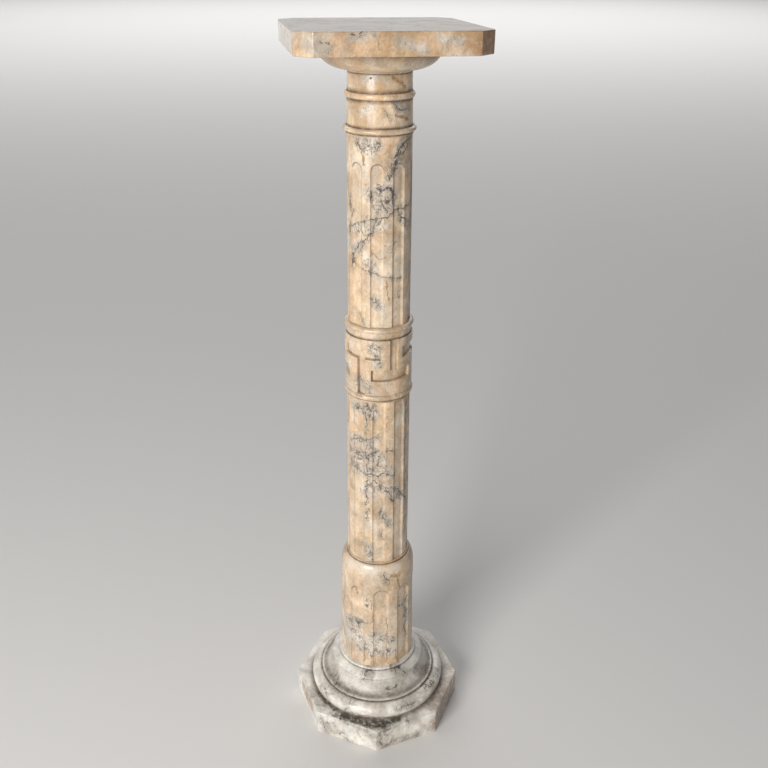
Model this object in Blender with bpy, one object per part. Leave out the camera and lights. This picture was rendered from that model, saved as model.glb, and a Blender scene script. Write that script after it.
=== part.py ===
"""Marble pedestal: an octagonal plinth, a turned base, a fluted drum, two fluted shafts
with a fret collar between them, a ringed neck, a bowl-shaped capital and a square top slab.

Metres, +Z up. The origin is the centre of the underside, and X and Y are square to the slab.
"""

import math

import bmesh
import bpy

# Gap left in each bed between two stones
BED = 0.0003

# Octagonal plinth
PLINTH_HEIGHT = 0.0430
PLINTH_CORNER_RADIUS = 0.1379
PLINTH_TURN = math.radians(11.8)
PLINTH_EDGE = 0.0010

# Turned base moulding, from the plinth up: torus, fillet, cove, rounded nose and bead
TORUS_HEIGHT = 0.0216
TORUS_RADIUS = 0.1111
TORUS_FOOT_RADIUS = 0.1090
TORUS_NECK_RADIUS = 0.0975
TORUS_FILLET_HEIGHT = 0.0032
TORUS_FILLET_RADIUS = 0.0944
COVE_HEIGHT = 0.0258
NOSE_HEIGHT = 0.0088
NOSE_RADIUS = 0.0762
NOSE_SWELL = 0.0012
BEAD_HEIGHT = 0.0045
BEAD_RADIUS = 0.0647

# Fluted drum with its rounded shoulder and the fillet that carries the shaft
DRUM_BODY_HEIGHT = 0.1765
DRUM_FOOT_RADIUS = 0.0598
DRUM_TOP_RADIUS = 0.0578
SHOULDER_HEIGHT = 0.0225
SHOULDER_FILLET_HEIGHT = 0.0030
SHOULDER_FILLET_RADIUS = 0.0492
DRUM_ARCH_TOP = 0.1545
DRUM_FLUTE_TURN = math.radians(25.6)
DRUM_FLUTE_ANGLE = math.radians(25.5)
DRUM_FLUTE_DEPTH = 0.0030

# Lower shaft, fluted from end to end
LOWER_SHAFT_HEIGHT = 0.2797
LOWER_SHAFT_FOOT_RADIUS = 0.0476
LOWER_SHAFT_TOP_RADIUS = 0.0463

# Collar: bottom fillet, lower ring, fret band, small cove and upper ring
COLLAR_FILLET_HEIGHT = 0.0028
COLLAR_FILLET_RADIUS = 0.0474
LOWER_RING_HEIGHT = 0.0088
LOWER_RING_RADIUS = 0.0501
BAND_HEIGHT = 0.0846
BAND_RADIUS = 0.0486
COLLAR_COVE_HEIGHT = 0.0102
COLLAR_COVE_RADIUS = 0.0466
UPPER_RING_HEIGHT = 0.0073
UPPER_RING_RADIUS = 0.0496

# Fret: T-shaped grooves, one standing and one hanging in each repeat, that interlock
FRET_REPEATS = 3
FRET_DEPTH = 0.0043
FRET_DRAFT = 0.0004
FRET_STEM_ANGLE = math.radians(15.4)
FRET_BAR_HEIGHT = 0.0175
STANDING_BAR_LOW = 0.0221
STANDING_STEM_TURN = math.radians(-73.3)
STANDING_REACH_BEFORE = math.radians(39.8)
STANDING_REACH_AFTER = math.radians(34.9)
HANGING_BAR_LOW = 0.0551
HANGING_STEM_TURN = math.radians(-131.2)
HANGING_REACH_BEFORE = math.radians(45.7)
HANGING_REACH_AFTER = math.radians(34.3)

# Upper shaft, fluted up to round arch heads
UPPER_SHAFT_HEIGHT = 0.2564
UPPER_SHAFT_FOOT_RADIUS = 0.0441
UPPER_SHAFT_TOP_RADIUS = 0.0431
UPPER_ARCH_TOP = 0.2237

# Flutes: as many round the drum as round each shaft
FLUTES = 9
FLUTE_ANGLE = math.radians(24.5)
FLUTE_DEPTH = 0.0026
LOWER_FLUTE_TURN = math.radians(21.5)
UPPER_FLUTE_TURN = math.radians(16.0)

# Neck: bottom fillet, lower ring, two plain stretches, upper ring and top fillet
NECK_FILLET_HEIGHT = 0.0027
NECK_FILLET_RADIUS = 0.0442
NECK_LOWER_RING_HEIGHT = 0.0069
NECK_LOWER_RING_RADIUS = 0.0481
NECK_LOWER_HEIGHT = 0.0345
NECK_FOOT_RADIUS = 0.0432
NECK_UPPER_RING_HEIGHT = 0.0077
NECK_UPPER_RING_RADIUS = 0.0457
NECK_UPPER_HEIGHT = 0.0237
NECK_TOP_RADIUS = 0.0415
NECK_TOP_FILLET_HEIGHT = 0.0020
NECK_TOP_FILLET_RADIUS = 0.0424

# Capital, a shallow bowl under the slab
CAPITAL_HEIGHT = 0.02415
CAPITAL_FOOT_RADIUS = 0.0428
CAPITAL_TOP_RADIUS = 0.0780

# Square top slab with its corners cut off
SLAB_THICKNESS = 0.02725
SLAB_SIDE = 0.2360
SLAB_CORNER_CUT = 0.0211
SLAB_EDGE = 0.0020

# Fineness of the faceted solids
TURNED_SIDES = 40
FLUTE_STEPS = 6
ROUND_STEPS = 4
CURVE_STEPS = 5
ARCH_STEPS = 4

# Share of an arch head's quarter turn that its last ring reaches
ARCH_REACH = 0.94

# Colours of the stones, as linear RGB
CREAM = (0.72, 0.56, 0.38, 1.0)
HONEY = (0.66, 0.49, 0.31, 1.0)
GREY = (0.55, 0.50, 0.44, 1.0)
PALE = (0.66, 0.60, 0.52, 1.0)


def clear_scene():
    """Remove every object of the scene."""
    for obj in list(bpy.data.objects):
        bpy.data.objects.remove(obj, do_unlink=True)


def marble(name, colour, roughness):
    """A polished stone of one colour."""
    material = bpy.data.materials.new(name)
    material.use_nodes = True
    shader = material.node_tree.nodes["Principled BSDF"]
    shader.inputs["Base Color"].default_value = colour
    shader.inputs["Roughness"].default_value = roughness
    shader.inputs["Metallic"].default_value = 0.0
    return material


def add_piece(name, bm, bottom, colour, roughness):
    """Turn a bmesh into a named object that stands at the height `bottom`."""
    mesh = bpy.data.meshes.new(name)
    bmesh.ops.recalc_face_normals(bm, faces=bm.faces)
    bm.to_mesh(mesh)
    bm.free()
    mesh.shade_smooth()
    mesh.set_sharp_from_angle(angle=math.radians(28))
    mesh.materials.append(marble(name + "_marble", colour, roughness))
    obj = bpy.data.objects.new(name, mesh)
    obj.location = (0.0, 0.0, bottom)
    bpy.context.scene.collection.objects.link(obj)
    return obj


def loft(rings):
    """Close a stack of rings of equally many points into one solid."""
    bm = bmesh.new()
    rows = [[bm.verts.new(point) for point in ring] for ring in rings]
    count = len(rows[0])
    for low, high in zip(rows, rows[1:]):
        for i in range(count):
            j = (i + 1) % count
            bm.faces.new((low[i], low[j], high[j], high[i]))
    bm.faces.new(rows[0][::-1])
    bm.faces.new(rows[-1])
    return bm


def turned(profile):
    """Loft the solid of revolution whose outer side is `profile`, as (radius, height) upward."""
    step = 2.0 * math.pi / TURNED_SIDES
    return loft(
        [
            [(r * math.cos(i * step), r * math.sin(i * step), z) for i in range(TURNED_SIDES)]
            for r, z in profile
        ]
    )


def half_round(edge_low, edge_high, reach, low, high):
    """Profile of a ring that swells from its lower edge radius out to `reach` and back."""
    points = []
    for i in range(ROUND_STEPS + 1):
        angle = math.pi * (i / ROUND_STEPS - 0.5)
        edge = edge_low if angle < 0.0 else edge_high
        radius = edge + (reach - edge) * math.cos(angle)
        points.append((radius, low + (high - low) * (math.sin(angle) + 1.0) / 2.0))
    return points


def quarter(start, end, hollow):
    """Quarter-ellipse profile between two points; it leaves the first one level if `hollow`."""
    points = []
    for i in range(CURVE_STEPS + 1):
        angle = 0.5 * math.pi * i / CURVE_STEPS
        across = math.sin(angle) if hollow else 1.0 - math.cos(angle)
        along = 1.0 - math.cos(angle) if hollow else math.sin(angle)
        points.append(
            (start[0] + (end[0] - start[0]) * across, start[1] + (end[1] - start[1]) * along)
        )
    return points


def swollen(start, end, swell):
    """Profile between two points that swells outward by `swell` half way."""
    run = math.hypot(end[0] - start[0], end[1] - start[1])
    points = []
    for i in range(1, CURVE_STEPS + 1):
        share = i / CURVE_STEPS
        out = 4.0 * swell * share * (1.0 - share) / run
        radius = start[0] + (end[0] - start[0]) * share + (end[1] - start[1]) * out
        height = start[1] + (end[1] - start[1]) * share + (start[0] - end[0]) * out
        points.append((radius, height))
    return points


def fluted_ring(radius, height, turn, open_angle, depth):
    """One ring of a fluted piece, whose flutes are `open_angle` wide at this height."""
    pitch = 2.0 * math.pi / FLUTES
    half = 0.5 * open_angle
    points = []
    for flute in range(FLUTES):
        centre = turn + flute * pitch
        for i in range(FLUTE_STEPS + 1):
            across = 2.0 * i / FLUTE_STEPS - 1.0
            sunk = radius - depth * (1.0 - across * across)
            angle = centre + across * half
            points.append((sunk * math.cos(angle), sunk * math.sin(angle), height))
        middle = centre + 0.5 * pitch
        points.append((radius * math.cos(middle), radius * math.sin(middle), height))
    return points


def fluted_to_arch(foot_radius, top_radius, height, arch_top, turn, angle, depth):
    """Rings of a tapered piece whose flutes rise from its foot to round arch heads."""

    def radius_at(z):
        return foot_radius + (top_radius - foot_radius) * z / height

    arch_rise = radius_at(arch_top) * 0.5 * angle
    rings = [fluted_ring(foot_radius, 0.0, turn, angle, depth)]
    share = 1.0
    for i in range(ARCH_STEPS + 1):
        up = math.sin(0.5 * math.pi * ARCH_REACH * i / ARCH_STEPS)
        share = math.sqrt(1.0 - up * up)
        z = arch_top - arch_rise * (1.0 - up)
        rings.append(fluted_ring(radius_at(z), z, turn, angle * share, depth * share))
    rings.append(fluted_ring(radius_at(arch_top), arch_top, turn, angle * share, 0.0))
    rings.append(fluted_ring(top_radius, height, turn, angle * share, 0.0))
    return rings, angle * share


def prism(corners, height, edge):
    """Upright prism on a convex outline, its edges eased by `edge`."""
    bm = bmesh.new()
    low = [bm.verts.new((x, y, 0.0)) for x, y in corners]
    face = bm.faces.new(low)
    raised = bmesh.ops.extrude_face_region(bm, geom=[face])
    top = [item for item in raised["geom"] if isinstance(item, bmesh.types.BMVert)]
    bmesh.ops.translate(bm, vec=(0.0, 0.0, height), verts=top)
    bmesh.ops.bevel(bm, geom=bm.edges[:], offset=edge, segments=2, profile=0.5, affect="EDGES")
    return bm


def build_plinth(bottom):
    corners = []
    for i in range(8):
        angle = PLINTH_TURN + math.pi * (i + 0.5) / 4.0
        corners.append(
            (PLINTH_CORNER_RADIUS * math.cos(angle), PLINTH_CORNER_RADIUS * math.sin(angle))
        )
    bm = prism(corners, PLINTH_HEIGHT, PLINTH_EDGE)
    add_piece("plinth", bm, bottom, PALE, 0.25)
    return PLINTH_HEIGHT


def build_base_moulding(bottom):
    fillet_high = TORUS_HEIGHT + TORUS_FILLET_HEIGHT
    nose_low = fillet_high + COVE_HEIGHT
    bead_low = nose_low + NOSE_HEIGHT
    bead_high = bead_low + BEAD_HEIGHT
    bead_edge = BEAD_RADIUS - 0.5 * BEAD_HEIGHT
    profile = half_round(
        TORUS_FOOT_RADIUS, TORUS_NECK_RADIUS, TORUS_RADIUS, 0.0, TORUS_HEIGHT
    )
    profile[-1] = (TORUS_FILLET_RADIUS, TORUS_HEIGHT)
    profile += quarter((TORUS_FILLET_RADIUS, fillet_high), (NOSE_RADIUS, nose_low), True)
    profile += swollen((NOSE_RADIUS, nose_low), (bead_edge, bead_low), NOSE_SWELL)
    profile += half_round(bead_edge, bead_edge, BEAD_RADIUS, bead_low, bead_high)[1:]
    add_piece("base_moulding", turned(profile), bottom, GREY, 0.3)
    return bead_high


def build_drum(bottom):
    rings, last_angle = fluted_to_arch(
        DRUM_FOOT_RADIUS,
        DRUM_TOP_RADIUS,
        DRUM_BODY_HEIGHT,
        DRUM_ARCH_TOP,
        DRUM_FLUTE_TURN,
        DRUM_FLUTE_ANGLE,
        DRUM_FLUTE_DEPTH,
    )
    shoulder_top = DRUM_BODY_HEIGHT + SHOULDER_HEIGHT
    shoulder = quarter(
        (DRUM_TOP_RADIUS, DRUM_BODY_HEIGHT), (SHOULDER_FILLET_RADIUS, shoulder_top), False
    )
    height = shoulder_top + SHOULDER_FILLET_HEIGHT
    for radius, z in [*shoulder[1:], (SHOULDER_FILLET_RADIUS, height)]:
        rings.append(fluted_ring(radius, z, DRUM_FLUTE_TURN, last_angle, 0.0))
    add_piece("drum", loft(rings), bottom, CREAM, 0.25)
    return height


def build_lower_shaft(bottom):
    rings = [
        fluted_ring(radius, z, LOWER_FLUTE_TURN, FLUTE_ANGLE, FLUTE_DEPTH)
        for radius, z in (
            (LOWER_SHAFT_FOOT_RADIUS, 0.0),
            (LOWER_SHAFT_TOP_RADIUS, LOWER_SHAFT_HEIGHT),
        )
    ]
    add_piece("lower_shaft", loft(rings), bottom, HONEY, 0.25)
    return LOWER_SHAFT_HEIGHT


def fret_grooves(band_low):
    """Rectangles of the fret, as (start angle, end angle, low, high)."""
    band_high = band_low + BAND_HEIGHT
    standing_low = band_low + STANDING_BAR_LOW
    standing_high = standing_low + FRET_BAR_HEIGHT
    hanging_low = band_low + HANGING_BAR_LOW
    hanging_high = hanging_low + FRET_BAR_HEIGHT
    half = 0.5 * FRET_STEM_ANGLE
    grooves = []
    for i in range(FRET_REPEATS):
        turn = 2.0 * math.pi * i / FRET_REPEATS
        standing = STANDING_STEM_TURN + turn
        hanging = HANGING_STEM_TURN + turn
        grooves += [
            (
                standing - STANDING_REACH_BEFORE,
                standing + STANDING_REACH_AFTER,
                standing_low,
                standing_high,
            ),
            (standing - half, standing + half, standing_low, band_high),
            (
                hanging - HANGING_REACH_BEFORE,
                hanging + HANGING_REACH_AFTER,
                hanging_low,
                hanging_high,
            ),
            (hanging - half, hanging + half, band_low, hanging_high),
        ]
    return grooves


def fret_angles(grooves):
    """Angles of the collar's columns: a pair at each groove's end, and even ones between."""
    full = 2.0 * math.pi
    slip = FRET_DRAFT / BAND_RADIUS
    ends = {round(end % full, 6) for groove in grooves for end in groove[:2]}
    angles = [end + side for end in sorted(ends) for side in (-slip, slip)]
    step = full / TURNED_SIDES
    for i in range(TURNED_SIDES):
        angle = i * step
        if all(abs((angle - end + math.pi) % full - math.pi) > 0.35 * step for end in ends):
            angles.append(angle)
    return sorted(angle % full for angle in angles)


def in_grooves(angle, z, grooves):
    """Whether a point of the band lies inside a groove."""
    full = 2.0 * math.pi
    for start, end, low, high in grooves:
        if low < z < high and (angle - start) % full < end - start:
            return True
    return False


def build_key_collar(bottom):
    ring_low = COLLAR_FILLET_HEIGHT
    band_low = ring_low + LOWER_RING_HEIGHT
    band_high = band_low + BAND_HEIGHT
    ring_edge = LOWER_RING_RADIUS - 0.5 * LOWER_RING_HEIGHT
    upper_low = band_high + COLLAR_COVE_HEIGHT
    upper_high = upper_low + UPPER_RING_HEIGHT
    upper_edge = UPPER_RING_RADIUS - 0.5 * UPPER_RING_HEIGHT
    grooves = fret_grooves(band_low)
    angles = fret_angles(grooves)

    levels = {edge for groove in grooves for edge in groove[2:]} - {band_low, band_high}
    heights = [band_low + FRET_DRAFT, band_high - FRET_DRAFT]
    for level in levels:
        heights += [level - FRET_DRAFT, level + FRET_DRAFT]
    profile = [(COLLAR_FILLET_RADIUS, 0.0), (COLLAR_FILLET_RADIUS, ring_low - FRET_DRAFT)]
    profile += half_round(ring_edge, ring_edge, LOWER_RING_RADIUS, ring_low, band_low)
    profile += [(BAND_RADIUS, z) for z in sorted(heights)]
    profile += [(COLLAR_COVE_RADIUS, band_high), (COLLAR_COVE_RADIUS, upper_low - FRET_DRAFT)]
    profile += half_round(upper_edge, upper_edge, UPPER_RING_RADIUS, upper_low, upper_high)

    rings = []
    for radius, z in profile:
        in_band = band_low < z < band_high
        ring = []
        for angle in angles:
            sunk = in_band and in_grooves(angle, z, grooves)
            r = radius - FRET_DEPTH if sunk else radius
            ring.append((r * math.cos(angle), r * math.sin(angle), z))
        rings.append(ring)
    add_piece("key_collar", loft(rings), bottom, CREAM, 0.25)
    return upper_high


def build_upper_shaft(bottom):
    rings, _ = fluted_to_arch(
        UPPER_SHAFT_FOOT_RADIUS,
        UPPER_SHAFT_TOP_RADIUS,
        UPPER_SHAFT_HEIGHT,
        UPPER_ARCH_TOP,
        UPPER_FLUTE_TURN,
        FLUTE_ANGLE,
        FLUTE_DEPTH,
    )
    add_piece("upper_shaft", loft(rings), bottom, CREAM, 0.25)
    return UPPER_SHAFT_HEIGHT


def build_neck(bottom):
    lower_ring_low = NECK_FILLET_HEIGHT
    lower_ring_high = lower_ring_low + NECK_LOWER_RING_HEIGHT
    upper_ring_low = lower_ring_high + NECK_LOWER_HEIGHT
    upper_ring_high = upper_ring_low + NECK_UPPER_RING_HEIGHT
    fillet_low = upper_ring_high + NECK_UPPER_HEIGHT
    height = fillet_low + NECK_TOP_FILLET_HEIGHT

    def neck_radius(z):
        share = (z - lower_ring_high) / (fillet_low - lower_ring_high)
        return NECK_FOOT_RADIUS + (NECK_TOP_RADIUS - NECK_FOOT_RADIUS) * share

    profile = [(NECK_FILLET_RADIUS, 0.0)]
    profile += half_round(
        NECK_FILLET_RADIUS,
        NECK_FOOT_RADIUS,
        NECK_LOWER_RING_RADIUS,
        lower_ring_low,
        lower_ring_high,
    )
    profile += half_round(
        neck_radius(upper_ring_low),
        neck_radius(upper_ring_high),
        NECK_UPPER_RING_RADIUS,
        upper_ring_low,
        upper_ring_high,
    )
    profile += [(NECK_TOP_RADIUS, fillet_low)]
    profile += [(NECK_TOP_FILLET_RADIUS, fillet_low + 0.25 * NECK_TOP_FILLET_HEIGHT)]
    profile += [(NECK_TOP_FILLET_RADIUS, height)]
    add_piece("neck", turned(profile), bottom, CREAM, 0.25)
    return height


def build_capital(bottom):
    profile = quarter(
        (CAPITAL_FOOT_RADIUS, 0.0), (CAPITAL_TOP_RADIUS, CAPITAL_HEIGHT), True
    )
    add_piece("capital", turned(profile), bottom, HONEY, 0.25)
    return CAPITAL_HEIGHT


def build_top_slab(bottom):
    half = 0.5 * SLAB_SIDE
    cut = half - SLAB_CORNER_CUT
    corners = []
    for i in range(4):
        c, s = round(math.cos(0.5 * math.pi * i)), round(math.sin(0.5 * math.pi * i))
        for x, y in ((half, -cut), (half, cut)):
            corners.append((x * c - y * s, x * s + y * c))
    bm = prism(corners, SLAB_THICKNESS, SLAB_EDGE)
    add_piece("top_slab", bm, bottom, PALE, 0.15)
    return SLAB_THICKNESS


def main():
    clear_scene()
    bottom = 0.0
    for build in (
        build_plinth,
        build_base_moulding,
        build_drum,
        build_lower_shaft,
        build_key_collar,
        build_upper_shaft,
        build_neck,
        build_capital,
        build_top_slab,
    ):
        bottom += build(bottom) + BED


main()
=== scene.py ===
"""Finish of the marble pedestal: fine turned and carved stones, veined marble and a studio."""

import math

import bmesh
import bpy
import numpy as np
from mathutils import Matrix, Vector


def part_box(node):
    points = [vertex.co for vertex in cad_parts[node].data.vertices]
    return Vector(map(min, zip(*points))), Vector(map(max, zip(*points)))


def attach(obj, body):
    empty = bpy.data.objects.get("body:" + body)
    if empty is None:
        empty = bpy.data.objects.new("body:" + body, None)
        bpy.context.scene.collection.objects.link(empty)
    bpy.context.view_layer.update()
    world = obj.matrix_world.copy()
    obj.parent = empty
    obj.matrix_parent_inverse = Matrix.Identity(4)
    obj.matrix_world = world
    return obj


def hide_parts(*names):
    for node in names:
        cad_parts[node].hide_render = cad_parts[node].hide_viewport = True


bl_info = {
    "name": "Marble Pedestal",
    "version": (1, 0, 0),
    "blender": (4, 5, 0),
    "location": "View3D > Sidebar > Pedestal",
    "description": "Carved stones and veined marble of a fluted pedestal",
    "category": "Add Mesh",
}

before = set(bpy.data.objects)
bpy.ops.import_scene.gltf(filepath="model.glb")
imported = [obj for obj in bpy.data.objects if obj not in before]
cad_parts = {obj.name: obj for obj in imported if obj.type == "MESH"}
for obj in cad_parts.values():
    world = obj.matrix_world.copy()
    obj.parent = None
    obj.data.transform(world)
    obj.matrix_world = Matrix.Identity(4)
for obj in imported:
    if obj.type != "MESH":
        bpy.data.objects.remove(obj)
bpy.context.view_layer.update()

BODY = "root"
MM = 0.001

# Direction of the pedestal's front, where the viewer stands, as a turn about the axis
FRONT = math.radians(-100.43)

# Studio camera: distance from the axis, height, and how it is aimed
CAMERA_DISTANCE = 1.1718
CAMERA_HEIGHT = 1.1675
CAMERA_PITCH = math.radians(25.94)
CAMERA_YAW = math.radians(0.40)
CAMERA_ROLL = math.radians(0.45)
CAMERA_LENS = 41.48

FULL_TURN = 2.0 * math.pi

# Fret of the collar: first stem of its standing and hanging grooves, and the bar's reach on each
# side of the stem, in degrees
STANDING_FRET = (-73.3, 39.8, 34.9)
HANGING_FRET = (-131.2, 45.7, 34.3)
FRET_REPEATS = 3

# Wear: how far a face wavers, how deep arrises are nicked and flat stones' arrises chipped, and
# how sharp an arris is that nicks fully or how hollow a place where grimy staining and painted shade
# lie thickest
WAVER = 0.00010
NICK_DEPTH = 0.0009
CHIP_DEPTH = 0.0010
SHARP_ARRIS = 0.00012
DARKEST_HOLLOW = 0.00022

FLOOR_RADIUS = 30.0


# Drawn paths by kind, as (width in mm, then places). A place on a turned stone is degrees to the
# right of the front and height in mm; on a flat stone the distance from the axis stands between
PLINTH_PATHS = {
    "vein": (
        (1.5, (-43, 136, 33), (-40, 134, 24), (-41, 134, 12), (-39, 133, 4)),
        (1.1, (-40, 134, 24), (-37, 132, 28)),
        (1.2, (-34, 130, 30), (-32, 129, 23), (-29, 128, 12), (-24, 127, 4), (-20, 127, 0)),
        (1, (-29, 128, 12), (-24, 127, 14)),
        (1.4, (-17, 128, 39), (-11, 130, 37), (-5, 134, 31), (-2, 137, 23)),
        (0.8, (-14, 129, 30), (-10, 131, 18)),
        (1.6, (1, 137, 40), (3, 135, 29), (2, 136, 19), (4, 134, 6)),
        (1.4, (3, 135, 40), (9, 131, 40), (14, 129, 42)),
        (1.4, (5, 134, 30), (8, 131, 24), (12, 129, 14), (8, 131, 6), (4, 134, 0)),
        (1, (12, 129, 14), (11, 130, 20)),
        (1.5, (17, 128, 7), (21, 127, 4), (26, 128, 3), (32, 129, 8)),
        (1.3, (25, 118, 43), (24, 126, 43), (26, 132, 43), (30, 134, 43)),
        (1.6, (-35, 127, 43), (-31, 126, 43), (-26, 124, 43)), (1.4, (-19, 125, 43), (-16, 128, 43)),
        (1.2, (66, 128, 30), (72, 132, 12)),
    ),
    "smoke": (
        (18, (-63, 119, 43), (-48, 122, 43)), (22, (48, 120, 43), (66, 118, 43)),
        (14, (-42, 134, 26), (-32, 130, 12)), (13, (-6, 133, 34), (10, 131, 34)),
        (14, (2, 136, 18), (30, 128, 4)),
    ),
    # Blackened strokes on the plinth top round the torus: painted shadow of the torus over blackened
    # stone
    "soot_and_shade": (
        (9, (-32, 119, 43), (-22, 118, 43)), (12, (-22, 119, 43), (-6, 119, 43)),
        (15, (-8, 121, 43), (5, 124, 43)), (10, (5, 119, 43), (18, 116, 43)),
        (5, (-60, 114, 43), (-36, 115, 43)),
    ),
    "rust_and_shade": (
        (36, (50, 134, 20), (66, 132, 24), (92, 130, 20)), (20, (-76, 128, 26), (-60, 132, 30)),
    ),
}
SLAB_PATHS = {
    "vein": (
        (0.8, (-27, 148, 1080), (-22, 140, 1075), (-24, 142, 1066)),
        (0.8, (-14, 130, 1084), (-8, 124, 1086), (-2, 120, 1084)),
        (0.6, (12, 118, 1082), (16, 119, 1074), (24, 121, 1070)),
        (0.6, (39, 135, 1082), (34, 129, 1076), (37, 132, 1068)),
        (1, (-84, 118, 1088), (-79, 118, 1061)), (0.9, (-68, 127, 1088), (-64, 131, 1061)),
    ),
    "smoke": (
        (9, (-14, 130, 1085), (-4, 121, 1086)), (9, (10, 118, 1080), (24, 121, 1072)),
        (7, (32, 127, 1084), (42, 138, 1076)), (12, (-32, 154, 1078), (-26, 146, 1070)),
        (50, (-100, 118, 1076), (-60, 132, 1076)),
    ),
    "soot_and_shade": (
        (1.6, (-15, 131, 1088), (-4, 121, 1089)), (2, (12, 118, 1061), (40, 136, 1061)),
    ),
    # Brown strokes; the wide patch on the right chamfer also paints shade there
    "rust_and_shade": (
        (30, (53, 156, 1076), (60, 158, 1076)), (3, (-16, 132, 1062), (6, 118, 1061)),
    ),
}
BASE_PATHS = {
    "vein": (
        (1, (-14, 107), (-17, 101), (-15, 97), (-19, 91)), (1.4, (-15, 100), (-8, 102)),
        (1.2, (20, 109), (27, 103), (25, 98)), (1.6, (27, 104), (34, 101), (38, 95)),
        (0.8, (30, 104), (32, 97)), (0.6, (-24, 66), (-26, 56), (-29, 46)),
        (0.8, (50, 66), (57, 63), (64, 64)), (1, (20, 58), (26, 60), (31, 57), (34, 60)),
        (0.7, (-24, 47), (-10, 48), (4, 46)), (1.2, (12, 78), (16, 76), (24, 78)),
        (1.3, (-52, 74), (-48, 68)), (1.3, (-55, 62), (-49, 56)),
    ),
    "smoke": (
        (13, (-18, 98), (-8, 100)), (12, (22, 106), (38, 96)), (11, (-44, 68), (-24, 66)),
        (10, (8, 78), (30, 76)), (14, (58, 84), (76, 66)), (14, (-74, 84), (-60, 74)),
        (9, (-58, 58), (-46, 52)), (9, (18, 58), (36, 56)),
    ),
}
DRUM_PATHS = {
    "vein": (
        (1.6, (9, 291), (13, 282)), (1, (30, 224), (38, 220), (46, 220)),
        (1.4, (46, 220), (51, 224), (58, 234)), (1, (46, 220), (54, 206), (56, 186)),
        (0.9, (-52, 186), (-42, 190), (-33, 188), (-24, 195), (-18, 196)),
        (0.8, (-18, 249), (-13, 240), (-15, 232)), (1.5, (-8, 170), (-5, 173)),
        (1, (-61, 172), (-45, 168)), (0.9, (56, 186), (50, 168), (56, 150)),
    ),
    "smoke": (
        (16, (-58, 184), (-30, 188)), (20, (-50, 160), (-6, 158)), (16, (-10, 168), (18, 160)),
        (15, (-30, 138), (20, 136)), (13, (50, 216), (60, 180)),
    ),
    "pale": (
        (9, (-60, 299), (-12, 299)), (8, (-8, 299), (40, 299)), (24, (-56, 158), (-6, 150)),
        (20, (-6, 146), (40, 138)),
    ),
    # The long upright brown lines follow flute edges as painted shade of the arrises; the short strokes
    # are brown veins
    "rust_and_shade": (
        (1.6, (-21, 152), (-21, 112)), (1.8, (16, 204), (16, 112)), (1.2, (-9, 243), (-9, 197)),
        (1.8, (-9, 132), (-9, 112)), (1.6, (32, 138), (32, 112)), (4, (22, 288), (34, 284)),
        (3, (33, 282), (38, 258)), (2.4, (-38, 262), (-36, 248)),
    ),
}
LOWER_PATHS = {
    "vein": (
        (0.8, (-21, 602), (-21, 508)), (1.1, (-21, 508), (-21, 470)), (0.8, (-21, 470), (-21, 388)),
        (0.9, (-60, 517), (-42, 524), (-24, 528), (-2, 534)),
        (0.9, (-60, 500), (-43, 503), (-24, 496), (-12, 506), (2, 510)),
        (0.8, (8, 508), (19, 511), (30, 507)), (1.2, (-60, 484), (-48, 474), (-36, 470), (-24, 467)),
        (1.4, (-24, 467), (-12, 470), (-2, 465)), (1, (-2, 465), (12, 470), (30, 465)),
        (1.1, (-6, 457), (6, 449), (16, 439), (28, 443)),
        (1.5, (28, 443), (42, 437), (54, 424), (66, 413)),
        (1.2, (12, 448), (22, 436), (26, 424), (36, 417)), (1.2, (66, 413), (64, 400)),
        (0.9, (-47, 575), (-34, 578), (-26, 568)), (1.2, (-11, 584), (-17, 570), (-9, 562)),
        (0.7, (58, 584), (60, 484), (61, 349)), (1, (7, 361), (9, 357)),
        (0.9, (-3, 487), (5, 480), (14, 484)),
    ),
    "smoke": (
        (13, (-50, 578), (-4, 572)), (14, (-56, 520), (-10, 522)), (20, (-56, 498), (0, 498)),
        (17, (-52, 474), (20, 474)), (14, (-14, 452), (34, 440)), (13, (30, 436), (58, 410)),
        (10, (-30, 438), (-8, 440)), (10, (6, 402), (20, 380)), (9, (-19, 338), (-12, 316)),
    ),
}
COLLAR_PATHS = {
    "vein": (
        (0.9, (-14, 675), (-7, 681), (2, 676)), (1.3, (-4, 673), (-2, 671)),
        (0.8, (-8, 664), (-1, 660), (3, 652)), (1.1, (-33, 622), (-29, 618)),
        (1.1, (-20, 622), (-16, 618)), (1, (-34, 602), (-29, 599)),
    ),
    "smoke": (
        (12, (-10, 674), (-1, 650)), (13, (-34, 620), (-18, 612)),
    ),
}
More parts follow.
